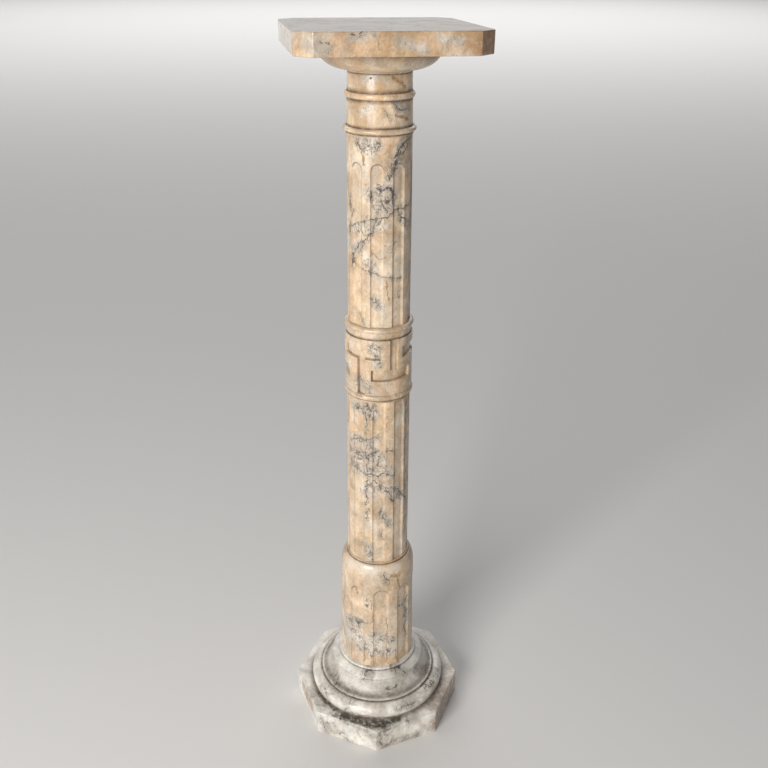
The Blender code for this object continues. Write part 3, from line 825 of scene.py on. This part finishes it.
def marble(
    title, ground_colours, seed, scale, warm_share, chalk_share, pale_flecks=0.55, tan_flecks=0.34,
    web_scale=40.0, web_spread=0.5, smoke_share=0.5, lace_share=1.0, polish=0.2, grain_height=0.7,
    radius=None, paths=(),
):
    """A veined marble: clouds, flecks, smoky patches of lace, drawn veins, grimy stains with painted
    shade, and polish.
    """
    colours = tints()
    material = bpy.data.materials.new(title + "_marble")
    material.use_nodes = True
    tree = material.node_tree
    light, deep, warm, chalk = (rgba(value) for value in ground_colours)
    bent = group(tree, "stone_position", {"Seed": seed, "Grain Height": grain_height})["Bent"]
    inputs = {"Position": bent, "Light": light, "Deep": deep, "Warm": warm, "Chalk": chalk}
    inputs |= {"Scale": scale, "Warm Share": warm_share, "Chalk Share": chalk_share}
    ground = group(tree, "marble_clouds", inputs)["Color"]
    inputs = {"Position": bent, "Color": ground, "Pale": chalk, "Tan": rgba(colours.umber)}
    inputs |= {"Pale Share": pale_flecks, "Tan Share": tan_flecks}
    ground = group(tree, "marble_mottle", inputs)["Color"]

    here = add(tree, "ShaderNodeTexCoord")["Object"]
    spots = swayed(tree, here, here, 48.0, 3.0, 0.65, 0.012)
    spots = swayed(tree, spots, here, 210.0, 6.0, 0.65, 0.0095)
    if radius is not None:
        inputs = {"Position": spots, "Radius": radius, "Front": -FRONT}
        spots = group(tree, "unrolled_place", inputs)["Place"]
    blotted = noise(tree, here, 150.0, 5.0, 0.7)
    net = times(tree, lace(tree, bent), lace_share)

    def drawn(kind, *blots):
        """Mask of one kind of drawn path, broken up into blots."""
        line = nearest_vein(tree, spots, paths[kind], radius)[1]
        return times(tree, line, ramp_value(tree, blotted, *blots))

    def tinted(share, tint):
        """The ground so far with a share of another colour."""
        return mix_colour(tree, share, ground, rgba(tint))

    patch = noise(tree, shifted(tree, bent, (1.3, 4.4, 2.0)), 12.0, 5.0, 0.62, 0.8)
    smoke = times(tree, ramp_value(tree, patch, 0.56, 0.68), smoke_share)
    if "smoke" in paths:
        smoke = larger(tree, smoke, drawn("smoke", 0.30, 0.52, 0.45, 1.0))
    pallor = ramp_value(tree, noise(tree, bent, 46.0, 4.0, 0.6, 0.8), 0.40, 0.62)
    ashen = mix_colour(tree, pallor, rgba(colours.smoke), rgba(colours.chalk))
    ground = mix_colour(tree, times(tree, smoke, 0.72), ground, ashen)
    if "pale" in paths:
        ground = tinted(drawn("pale", 0.3, 0.6, 0.2, 0.62), colours.chalk)

    rust_and_shade = times(tree, web(tree, bent, web_scale * 0.8, 0.018, 0.5, 19.0), 0.4)
    # Drawn brown paths: veins, plus painted shade down the drum's flute edges and on the slab's right
    # chamfer
    if "rust_and_shade" in paths:
        rust_and_shade = larger(tree, rust_and_shade, drawn("rust_and_shade", 0.3, 0.6, 0.35, 0.85))
    ground = tinted(rust_and_shade, colours.rust_and_shade)
    away = shifted(tree, bent, (2.2, 6.1, 3.3))
    veins = times(tree, web(tree, away, web_scale, 0.014, web_spread, 16.0), 0.75)
    veins = larger(tree, veins, times(tree, net, smoke))
    if "vein" in paths:
        distance, line = nearest_vein(tree, spots, paths["vein"], radius)
        halo = ramp_value(tree, distance, 0.8, 8.0, 1.0, 0.0)
        stain = times(tree, halo, ramp_value(tree, blotted, 0.38, 0.62, 0.0, 0.55))
        ground = tinted(stain, colours.smoke)
        line = times(tree, line, ramp_value(tree, blotted, 0.36, 0.50, 0.20, 1.0))
        veins = larger(tree, larger(tree, veins, line), times(tree, halo, net))
    ground = tinted(times(tree, veins, 0.94), colours.vein)
    # Blackened stone, and on the plinth the painted shadow of the torus
    if "soot_and_shade" in paths:
        ground = tinted(drawn("soot_and_shade", 0.36, 0.54, 0.35, 0.97), colours.soot_and_shade)

    # Per-point mask of grimy staining plus painted shade: hollows, fret grooves, flute edges, contact
    # lines and the slab's shadow on the capital
    soil_and_shade = add(tree, "ShaderNodeAttribute", attribute_name="soil_and_shade")["Fac"]
    soil_and_shade = times(tree, soil_and_shade, ramp_value(tree, blotted, 0.25, 0.6, 0.55, 1.0))
    ground = tinted(times(tree, soil_and_shade, 0.9), colours.grime_and_shade)
    inputs = {"Position": here, "Veins": veins, "Soil And Shade": soil_and_shade, "Polish": polish}
    surface = group(tree, "stone_surface", inputs)
    inputs = {"Height": surface["Height"], "Strength": 0.25, "Distance": 0.0006}
    inputs = {"Normal": add(tree, "ShaderNodeBump", inputs)[0], "IOR": 1.52}
    inputs |= {"Base Color": ground, "Roughness": surface["Roughness"]}
    fill(tree, tree.nodes["Principled BSDF"], inputs)
    return material


# Stones


def carving():
    """The sizes that the user has set."""
    return bpy.context.scene.pedestal_sizes


def tints():
    """The colours that the user has set."""
    return bpy.context.scene.pedestal_colours


def shaft_colours():
    """The four ground colours of the shafts' warm marble."""
    colours = tints()
    return (colours.cream, colours.peach, colours.honey, colours.chalk)


def tall(node):
    """Height of a stone in the frame."""
    low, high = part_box(node)
    return high[2] - low[2]


def reach_of(node):
    """How far a stone reaches from the axis in the frame."""
    low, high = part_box(node)
    return 0.5 * (high[0] - low[0])


def rounded_outline(corners, inset, rounding, edge_steps=22, corner_steps=5):
    """Ring of points on a convex outline drawn in by `inset`, with rounded corners."""
    count = len(corners)
    sides = [(corners[(i + 1) % count] - corners[i]).normalized() for i in range(count)]
    outward = [Vector((side.y, -side.x)) for side in sides]
    reach = [outward[i].dot(corners[i]) - inset - rounding for i in range(count)]
    arcs = []
    for i in range(count):
        first, second = outward[i - 1], outward[i]
        across = first.x * second.y - first.y * second.x
        x = (reach[i - 1] * second.y - reach[i] * first.y) / across
        y = (reach[i] * first.x - reach[i - 1] * second.x) / across
        start = math.atan2(first.y, first.x)
        sweep = (math.atan2(second.y, second.x) - start) % FULL_TURN
        turns = [start + sweep * k / corner_steps for k in range(corner_steps + 1)]
        arcs.append(
            [Vector((x + rounding * math.cos(a), y + rounding * math.sin(a))) for a in turns]
        )
    ring = []
    for i in range(count):
        ring += arcs[i]
        start, end = arcs[i][-1], arcs[(i + 1) % count][0]
        ring += [start.lerp(end, k / edge_steps) for k in range(1, edge_steps)]
    return np.array(ring)


def flat_stone(title, node, slot, material, corners, rounding, seed, contact=None):
    """A low polygonal stone with worn arrises, and grimy staining with painted contact shade round what
    stands on it at `contact`.
    """
    low, high = (corner[2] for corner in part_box(node))
    arris = carving().arris
    bends = [(math.cos(k * math.pi / 10), math.sin(k * math.pi / 10)) for k in range(6)]
    rings, heights = [], []
    for across, along in bends:
        rings.append(rounded_outline(corners, arris * (1.0 - along), rounding))
        heights.append(low + arris * (1.0 - across))
    for k in range(1, 14):
        rings.append(rings[-1])
        heights.append(low + arris + (high - low - 2.0 * arris) * k / 14)
    for across, along in bends:
        rings.append(rounded_outline(corners, arris * (1.0 - across), rounding))
        heights.append(high - arris * (1.0 - along))
    edge_level = len(rings) - 3
    brink = rings[-1]
    for share in np.concatenate([np.arange(0.985, 0.70, -0.012), [0.6, 0.4, 0.2, 0.05]]):
        rings.append(brink * share)
        heights.append(high)
    level = np.broadcast_to(np.array(heights)[:, None], (len(rings), len(brink)))
    points = np.concatenate([np.array(rings), level[..., None]], axis=-1)
    reach = np.hypot(points[..., 0], points[..., 1])
    past_edge = (np.arange(len(rings)) - edge_level)[:, None]
    near_top = np.exp(-((past_edge / 1.8) ** 2))
    nicks = drift(points, 210.0, seed) + drift(points, 70.0, seed + 1)
    chips = near_top * np.clip(nicks - 0.5, 0.0, 1.0)
    points[..., :2] *= (1.0 - CHIP_DEPTH * chips / reach)[..., None]
    points[..., 2] -= 0.7 * CHIP_DEPTH * chips
    soil_and_shade = 0.5 * chips
    if contact is not None:
        # Painted contact shade, with some grimy staining, round the foot of the stone standing here
        dirt_and_shade = 0.85 * np.exp(-((np.maximum(reach - contact, 0.0) / 0.006) ** 2))
        soil_and_shade = soil_and_shade + np.where(past_edge > 0, dirt_and_shade, 0.0)
    mesh = grid_mesh(title, points, np.clip(soil_and_shade, 0.0, 1.0))
    return place(mesh, node, slot, material, 60.0)


def fluted_stone(title, node, material, profile, first_turn, width, depth, arch_top, seed):
    """A fluted stone; its flutes run up from the foot to `arch_top`, or to the top if None."""
    sizes = carving()
    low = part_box(node)[0][2]
    radius, height, hollow = worn(profile, 0.0005, 0.0005)
    close = []
    if arch_top is not None:
        head = 0.5 * width * radius[0]
        close.append((arch_top - 1.1 * head, arch_top + 0.0008))
    keep = kept_levels(radius, height, close, 10)
    radius, height, hollow = radius[keep], height[keep], hollow[keep]
    angles = flute_columns(sizes, first_turn, width)
    cut, soil_and_shade = flute_carving(sizes, angles, height, first_turn, width, depth, arch_top, radius[0])
    hollows = np.repeat(hollow[:, None], len(angles), axis=1)
    points = on_grid(radius[:, None] - cut, (height + low)[:, None], angles)
    points[1:-1] = weathered(points, hollows, seed)[1:-1]
    mesh = grid_mesh(title, points, np.clip(soil_and_shade + hollow_dirt_and_shade(hollows), 0.0, 1.0))
    return place(mesh, node, "shaft_stone", material)


class PEDESTAL_OT_plinth(bpy.types.Operator):
    """Add the octagonal plinth"""

    bl_idname = "pedestal.add_plinth"
    bl_label = "Plinth"

    def execute(self, context):
        colours = tints()
        ground = (colours.pearl, colours.stone_grey, colours.tan, colours.milk)
        material = marble(
            "plinth", ground, seed=3.0, scale=13.0, warm_share=0.42, chalk_share=0.8,
            pale_flecks=0.4, tan_flecks=0.10, web_scale=24.0, web_spread=0.45, smoke_share=0.6,
            lace_share=0.6, grain_height=0.8, paths=PLINTH_PATHS,
        )
        turns = [carving().plinth_turn + math.pi * (i + 0.5) / 4.0 for i in range(8)]
        radius = reach_of("plinth") / max(math.cos(angle) for angle in turns)
        corners = [Vector((radius * math.cos(a), radius * math.sin(a))) for a in turns]
        contact = reach_of("base_moulding")
        flat_stone("plinth_stone", "plinth", "plinth_stone", material, corners, 0.0012, 11, contact)
        return {"FINISHED"}


class PEDESTAL_OT_base(bpy.types.Operator):
    """Add the turned base moulding: torus, fillet, cove, round and bead"""

    bl_idname = "pedestal.add_base"
    bl_label = "Base moulding"

    def execute(self, context):
        sizes, colours = carving(), tints()
        ground = (colours.stone_grey, colours.pearl, colours.peach, colours.milk)
        material = marble(
            "base", ground, seed=9.0, scale=17.0, warm_share=0.25, chalk_share=0.6,
            pale_flecks=0.35, tan_flecks=0.14, web_scale=26.0, web_spread=0.35, smoke_share=0.55,
            lace_share=0.6, polish=0.24, grain_height=0.9, radius=0.095, paths=BASE_PATHS,
        )
        top = tall("base_moulding")
        fillet_high = sizes.torus_height + sizes.torus_fillet
        bead_low = top - sizes.bead_height
        nose_low = bead_low - sizes.nose_drop
        nose = (sizes.nose_radius, nose_low)
        edge = sizes.bead_radius - 0.5 * sizes.bead_height
        reach = reach_of("base_moulding")
        profile = half_round(sizes.torus_foot, sizes.torus_neck, reach, 0.0, sizes.torus_height)
        profile[-1] = (sizes.torus_fillet_radius, sizes.torus_height)
        profile += quarter((sizes.torus_fillet_radius, fillet_high), nose, True)
        profile += bulge(nose, (edge, bead_low), 0.0012)
        profile += half_round(edge, edge, sizes.bead_radius, bead_low, top)[1:]
        # Dark lines painted as shade under the round's lip, over the fillet, at the torus foot and
        # under the bead, with some grimy staining
        dirt_and_shade = (
            (nose_low - 0.0012, 0.0010, 0.55),
            (nose_low - 0.006, 0.0050, 0.16),
            (fillet_high + 0.0015, 0.0022, 0.30),
            (0.0020, 0.0022, 0.45),
            (bead_low, 0.0010, 0.55),
        )
        turned_stone("base_stone", "base_moulding", "base_stone", profile, material, 21, 288, dirt_and_shade)
        return {"FINISHED"}


class PEDESTAL_OT_drum(bpy.types.Operator):
    """Add the fluted drum with its rounded shoulder"""

    bl_idname = "pedestal.add_drum"
    bl_label = "Drum"

    def execute(self, context):
        sizes = carving()
        material = marble(
            "drum", shaft_colours(), seed=15.0, scale=22.0, warm_share=0.85, chalk_share=0.30,
            pale_flecks=0.38, web_spread=0.3, smoke_share=0.30, radius=sizes.drum_foot,
            paths=DRUM_PATHS,
        )
        top = tall("drum")
        shoulder_top = top - sizes.shoulder_fillet
        body = (sizes.drum_top, shoulder_top - sizes.shoulder_rise)
        profile = [(sizes.drum_foot, 0.0)]
        profile += quarter(body, (sizes.shoulder_radius, shoulder_top), False)
        profile += [(sizes.shoulder_radius, top)]
        fluted_stone(
            "drum_stone", "drum", material, profile, sizes.drum_flute_turn,
            sizes.drum_flute_width, sizes.drum_flute_depth, sizes.drum_arch, 31,
        )
        return {"FINISHED"}


class PEDESTAL_OT_shafts(bpy.types.Operator):
    """Add the two fluted shafts, below and above the fret collar"""

    bl_idname = "pedestal.add_shafts"
    bl_label = "Shafts"

    def execute(self, context):
        sizes = carving()
        lower = marble(
            "lower_shaft", shaft_colours(), seed=22.0, scale=24.0, warm_share=0.6, chalk_share=0.5,
            web_scale=44.0, web_spread=0.6, radius=sizes.lower_foot, paths=LOWER_PATHS,
        )
        profile = [(sizes.lower_foot, 0.0), (sizes.lower_top, tall("lower_shaft"))]
        fluted_stone(
            "lower_shaft_stone", "lower_shaft", lower, profile, sizes.lower_flute_turn,
            sizes.flute_width, sizes.flute_depth, None, 41,
        )
        upper = marble(
            "upper_shaft", shaft_colours(), seed=37.0, scale=23.0, warm_share=0.6, chalk_share=0.5,
            pale_flecks=0.42, tan_flecks=0.46, web_scale=42.0, web_spread=0.45,
            radius=sizes.upper_foot, paths=UPPER_PATHS,
        )
        profile = [(sizes.upper_foot, 0.0), (sizes.upper_top, tall("upper_shaft"))]
        fluted_stone(
            "upper_shaft_stone", "upper_shaft", upper, profile, sizes.upper_flute_turn,
            sizes.flute_width, sizes.flute_depth, sizes.upper_arch, 51,
        )
        return {"FINISHED"}


def fret_rectangles(sizes, band_low):
    """Grooves of the fret, standing and hanging Ts in turn, as (start, end, low, high)."""
    past = 0.004
    band_high = band_low + sizes.band_height
    half = 0.5 * sizes.fret_stem
    grooves = []
    for (stem, before, after), bar_low, stem_low, stem_high in (
        (STANDING_FRET, sizes.standing_low, band_low + sizes.standing_low, band_high + past),
        (HANGING_FRET, sizes.hanging_low, band_low - past, None),
    ):
        low = band_low + bar_low
        high = low + sizes.fret_bar
        for i in range(FRET_REPEATS):
            centre = math.radians(stem) + FULL_TURN * i / FRET_REPEATS
            grooves.append((centre - math.radians(before), centre + math.radians(after), low, high))
            grooves.append((centre - half, centre + half, stem_low, stem_high or high))
    return grooves


def groove_depth(angle, z, grooves, radius):
    """How far inside a groove each point lies, along the stone's face; below 0 if outside."""
    inside = np.full(np.broadcast(angle, z).shape, -1.0)
    for start, end, low, high in grooves:
        offset = (angle - 0.5 * (start + end) + math.pi) % FULL_TURN - math.pi
        across = (0.5 * (end - start) - np.abs(offset)) * radius
        along = 0.5 * (high - low) - np.abs(z - 0.5 * (low + high))
        inside = np.maximum(inside, np.minimum(across, along))
    return inside


def stepped(edges, low, high, even):
    """Values from low to high, evenly spread and closer together at each edge."""
    values = list(np.arange(low, high, even))
    for edge in edges:
        for gap in (0.0, 0.00035, 0.0007, 0.0011, 0.0016):
            values += [edge - gap, edge + gap]
    values = np.sort(np.array([value for value in values if low <= value <= high]))
    return values[np.concatenate([[True], np.diff(values) > 0.00012])]


class PEDESTAL_OT_collar(bpy.types.Operator):
    """Add the collar with its two rings and the fret of interlocking grooves"""

    bl_idname = "pedestal.add_collar"
    bl_label = "Fret collar"

    def execute(self, context):
        sizes = carving()
        band = sizes.band_radius
        material = marble(
            "collar", shaft_colours(), seed=44.0, scale=26.0, warm_share=0.6, chalk_share=0.35,
            web_spread=0.25, radius=band, smoke_share=0.2, paths=COLLAR_PATHS,
        )
        bottom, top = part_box("key_collar")[0][2], tall("key_collar")
        band_low = sizes.collar_fillet + sizes.lower_ring
        band_high = band_low + sizes.band_height
        ring_low = band_high + sizes.collar_cove
        ring, cove = sizes.lower_ring_radius, sizes.collar_cove_radius
        edge = ring - 0.5 * sizes.lower_ring
        profile = [(sizes.collar_fillet_radius, 0.0)]
        profile += half_round(edge, edge, ring, sizes.collar_fillet, band_low)
        profile += [(band, band_low), (band, band_high), (cove, band_high), (cove, ring_low)]
        edge = sizes.upper_ring_radius - 0.5 * (top - ring_low)
        profile += half_round(edge, edge, sizes.upper_ring_radius, ring_low, top)
        radius, height, hollow = worn(profile, 0.0003, 0.0004)
        keep = kept_levels(radius, height, (), 16)

        grooves = fret_rectangles(sizes, band_low)
        edges = [edge for groove in grooves for edge in groove[2:]]
        levels = stepped(edges, band_low + 0.0006, band_high - 0.0006, 0.002)
        below = keep & (height < band_low + 0.0006)
        above = keep & (height > band_high - 0.0006)
        flat = np.zeros(len(levels))
        radius = np.concatenate([radius[below], flat + band, radius[above]])
        height = np.concatenate([height[below], levels, height[above]])
        hollow = np.concatenate([hollow[below], flat, hollow[above]])

        turns = [edge % FULL_TURN * band for groove in grooves for edge in groove[:2]]
        angles = stepped(turns, 0.0, FULL_TURN * band - 0.0002, 0.0016) / band
        full = np.repeat(radius[:, None], len(angles), axis=1)
        waver = 0.00030 * drift(on_grid(full, height[:, None], angles), 55.0, 71)
        inside = groove_depth(angles[None, :], height[:, None], grooves, band) + waver
        in_band = ((height > band_low + 0.0003) & (height < band_high + 0.0003))[:, None]
        share = np.where(in_band, np.clip(inside / 0.0010, 0.0, 1.0), 0.0)
        full = full - sizes.fret_depth * share * share * (3.0 - 2.0 * share)
        hollows = np.repeat(hollow[:, None], len(angles), axis=1)
        points = on_grid(full, (height + bottom)[:, None], angles)
        points[1:-1] = weathered(points, hollows, 61)[1:-1]
        # Dark lines inside the fret grooves along their edges: painted shade in the recesses, with some
        # grimy staining
        line = 0.62 * np.exp(-(((inside - 0.0011) / 0.0008) ** 2)) * in_band
        mesh = grid_mesh("collar_stone", points, np.clip(line + hollow_dirt_and_shade(hollows), 0.0, 1.0))
        place(mesh, "key_collar", "shaft_stone", material)
        return {"FINISHED"}


class PEDESTAL_OT_neck(bpy.types.Operator):
    """Add the neck with its two rings"""

    bl_idname = "pedestal.add_neck"
    bl_label = "Neck"

    def execute(self, context):
        sizes = carving()
        material = marble(
            "neck", shaft_colours(), seed=52.0, scale=24.0, warm_share=0.75, chalk_share=0.4,
            web_spread=0.2, radius=sizes.neck_foot, smoke_share=0.2, lace_share=0.5,
            paths=NECK_PATHS,
        )
        top = tall("neck")
        ring_low = sizes.neck_fillet
        ring_high = ring_low + sizes.neck_ring
        upper_low = ring_high + sizes.neck_run
        upper_high = upper_low + sizes.neck_upper_ring
        fillet_low = top - sizes.neck_top_fillet
        fillet, top_fillet = sizes.neck_fillet_radius, sizes.neck_top_fillet_radius
        foot, ring, upper_ring = sizes.neck_foot, sizes.neck_ring_radius, sizes.neck_upper_ring_radius
        slope = (sizes.neck_top - foot) / (fillet_low - ring_high)
        below, above = (foot + slope * (z - ring_high) for z in (upper_low, upper_high))
        profile = [(fillet, 0.0)]
        profile += half_round(fillet, foot, ring, ring_low, ring_high)
        profile += half_round(below, above, upper_ring, upper_low, upper_high)
        profile += [(sizes.neck_top, fillet_low), (top_fillet, fillet_low + 0.0004)]
        profile += [(top_fillet, top)]
        turned_stone("neck_stone", "neck", "shaft_stone", profile, material, 81)
        return {"FINISHED"}


class PEDESTAL_OT_capital(bpy.types.Operator):
    """Add the bowl-shaped capital under the slab"""

    bl_idname = "pedestal.add_capital"
    bl_label = "Capital"

    def execute(self, context):
        material = marble(
            "capital", shaft_colours(), seed=63.0, scale=20.0, warm_share=0.6, chalk_share=0.6,
            web_spread=0.4, radius=0.06,
        )
        top = tall("capital")
        profile = quarter((carving().capital_foot, 0.0), (reach_of("capital"), top), True, 28)
        # Painted shadow of the slab on the top of the capital
        dirt_and_shade = ((top, 0.0045, 0.90), (top - 0.005, 0.0080, 0.40))
        turned_stone("capital_stone", "capital", "shaft_stone", profile, material, 91, 256, dirt_and_shade)
        return {"FINISHED"}


class PEDESTAL_OT_slab(bpy.types.Operator):
    """Add the square top slab with its corners cut off"""

    bl_idname = "pedestal.add_slab"
    bl_label = "Top slab"

    def execute(self, context):
        colours = tints()
        ground = (colours.tan, colours.peach, colours.honey, colours.chalk)
        material = marble(
            "slab", ground, seed=70.0, scale=15.0, warm_share=0.45, chalk_share=0.5,
            web_scale=22.0, pale_flecks=0.3, tan_flecks=0.36, smoke_share=0.35, lace_share=0.28,
            polish=0.10, paths=SLAB_PATHS,
        )
        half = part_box("top_slab")[1][0]
        cut = half - carving().slab_cut
        corners = []
        for i in range(4):
            side = Matrix.Rotation(0.5 * math.pi * i, 2)
            corners += [side @ Vector((half, -cut)), side @ Vector((half, cut))]
        flat_stone("slab_stone", "top_slab", "slab_stone", material, corners, 0.0020, 101)
        return {"FINISHED"}


def plain_material(name, colour, roughness):
    """One even colour, for the stage."""
    material = bpy.data.materials.new(name)
    material.use_nodes = True
    shader = material.node_tree.nodes["Principled BSDF"]
    fill(material.node_tree, shader, {"Base Color": colour, "Roughness": roughness})
    return material


def soft_light(name, spot, aim, size, power, colour):
    """A soft lamp, `size` wide and high, that faces the point `aim`."""
    lamp = bpy.data.lights.new(name, "AREA")
    lamp.shape = "RECTANGLE"
    lamp.size, lamp.size_y = size
    lamp.energy = power
    lamp.color = colour
    obj = bpy.data.objects.new(name, lamp)
    obj.location = spot
    obj.rotation_mode = "QUATERNION"
    obj.rotation_quaternion = (Vector(aim) - Vector(spot)).to_track_quat("-Z", "Y")
    bpy.context.scene.collection.objects.link(obj)


def around(degrees, distance, height):
    """Place in the studio, `degrees` to the right of the viewer as seen from the pedestal."""
    angle = FRONT + math.radians(degrees)
    return (distance * math.cos(angle), distance * math.sin(angle), height)


class PEDESTAL_OT_stage(bpy.types.Operator):
    """Add the pale floor, the soft lights and the camera"""

    bl_idname = "pedestal.add_stage"
    bl_label = "Stage"

    def execute(self, context):
        scene = context.scene
        bm = bmesh.new()
        bmesh.ops.create_circle(bm, cap_ends=True, segments=96, radius=FLOOR_RADIUS)
        mesh = bpy.data.meshes.new("floor")
        bm.to_mesh(mesh)
        bm.free()
        mesh.materials.append(plain_material("floor_paint", (0.80, 0.79, 0.78, 1.0), 0.9))
        floor = bpy.data.objects.new("floor", mesh)
        floor.location = (0.0, 0.0, -0.0002)
        scene.collection.objects.link(floor)

        world = bpy.data.worlds.new("studio")
        world.use_nodes = True
        background = world.node_tree.nodes["Background"]
        fill(world.node_tree, background, {"Color": (0.97, 0.98, 1.0, 1.0), "Strength": 0.15})
        scene.world = world
        scene.view_settings.view_transform = "Standard"
        middle = (0.0, 0.0, 0.5)
        far_floor = around(180.0, 17.0, 0.0)
        white = (1.0, 1.0, 1.0)
        soft_light("key", around(-30.0, 3.0, 1.5), middle, (1.4, 1.6), 98.0, (1.0, 0.97, 0.93))
        soft_light("ceiling", around(180.0, 17.0, 9.0), far_floor, (24.0, 20.0), 2100.0, white)
        soft_light("wall", around(180.0, 28.0, 7.0), middle, (44.0, 12.0), 860.0, white)

        camera_data = bpy.data.cameras.new("camera")
        camera_data.sensor_width = 36.0
        camera_data.lens = CAMERA_LENS
        camera_data.dof.use_dof = False
        camera = bpy.data.objects.new("camera", camera_data)
        heading = FRONT + math.pi - CAMERA_YAW
        ahead = Vector((math.cos(heading), math.sin(heading), 0.0)) * math.cos(CAMERA_PITCH)
        forward = ahead - Vector((0.0, 0.0, math.sin(CAMERA_PITCH)))
        level = Vector((math.sin(heading), -math.cos(heading), 0.0))
        upward = level.cross(forward)
        right = level * math.cos(CAMERA_ROLL) + upward * math.sin(CAMERA_ROLL)
        upward = upward * math.cos(CAMERA_ROLL) - level * math.sin(CAMERA_ROLL)
        turned = Matrix((right, upward, -forward)).transposed().to_4x4()
        spot = around(0.0, CAMERA_DISTANCE, CAMERA_HEIGHT)
        camera.matrix_world = Matrix.Translation(spot) @ turned
        scene.collection.objects.link(camera)
        scene.camera = camera
        return {"FINISHED"}


class PEDESTAL_PT_stones(bpy.types.Panel):
    """Lists the stones of the pedestal with their sizes and colours"""

    bl_idname = "PEDESTAL_PT_stones"
    bl_label = "Marble Pedestal"
    bl_space_type = "VIEW_3D"
    bl_region_type = "UI"
    bl_category = "Pedestal"

    def draw(self, context):
        for operator in OPERATORS:
            self.layout.operator(operator.bl_idname)
        for group_of_values in (carving(), tints()):
            box = self.layout.box()
            for key in group_of_values.__annotations__:
                box.prop(group_of_values, key)


OPERATORS = (
    PEDESTAL_OT_plinth,
    PEDESTAL_OT_base,
    PEDESTAL_OT_drum,
    PEDESTAL_OT_shafts,
    PEDESTAL_OT_collar,
    PEDESTAL_OT_neck,
    PEDESTAL_OT_capital,
    PEDESTAL_OT_slab,
    PEDESTAL_OT_stage,
)
CLASSES = (PedestalSizes, PedestalColours, *OPERATORS, PEDESTAL_PT_stones)


def register():
    for cls in CLASSES:
        bpy.utils.register_class(cls)
    bpy.types.Scene.pedestal_sizes = bpy.props.PointerProperty(type=PedestalSizes)
    bpy.types.Scene.pedestal_colours = bpy.props.PointerProperty(type=PedestalColours)


def unregister():
    del bpy.types.Scene.pedestal_colours
    del bpy.types.Scene.pedestal_sizes
    for cls in reversed(CLASSES):
        bpy.utils.unregister_class(cls)


def main():
    """Build the pedestal and its stage."""
    register()
    bpy.ops.pedestal.add_plinth()
    bpy.ops.pedestal.add_base()
    bpy.ops.pedestal.add_drum()
    bpy.ops.pedestal.add_shafts()
    bpy.ops.pedestal.add_collar()
    bpy.ops.pedestal.add_neck()
    bpy.ops.pedestal.add_capital()
    bpy.ops.pedestal.add_slab()
    bpy.ops.pedestal.add_stage()


if __name__ == "__main__":
    main()
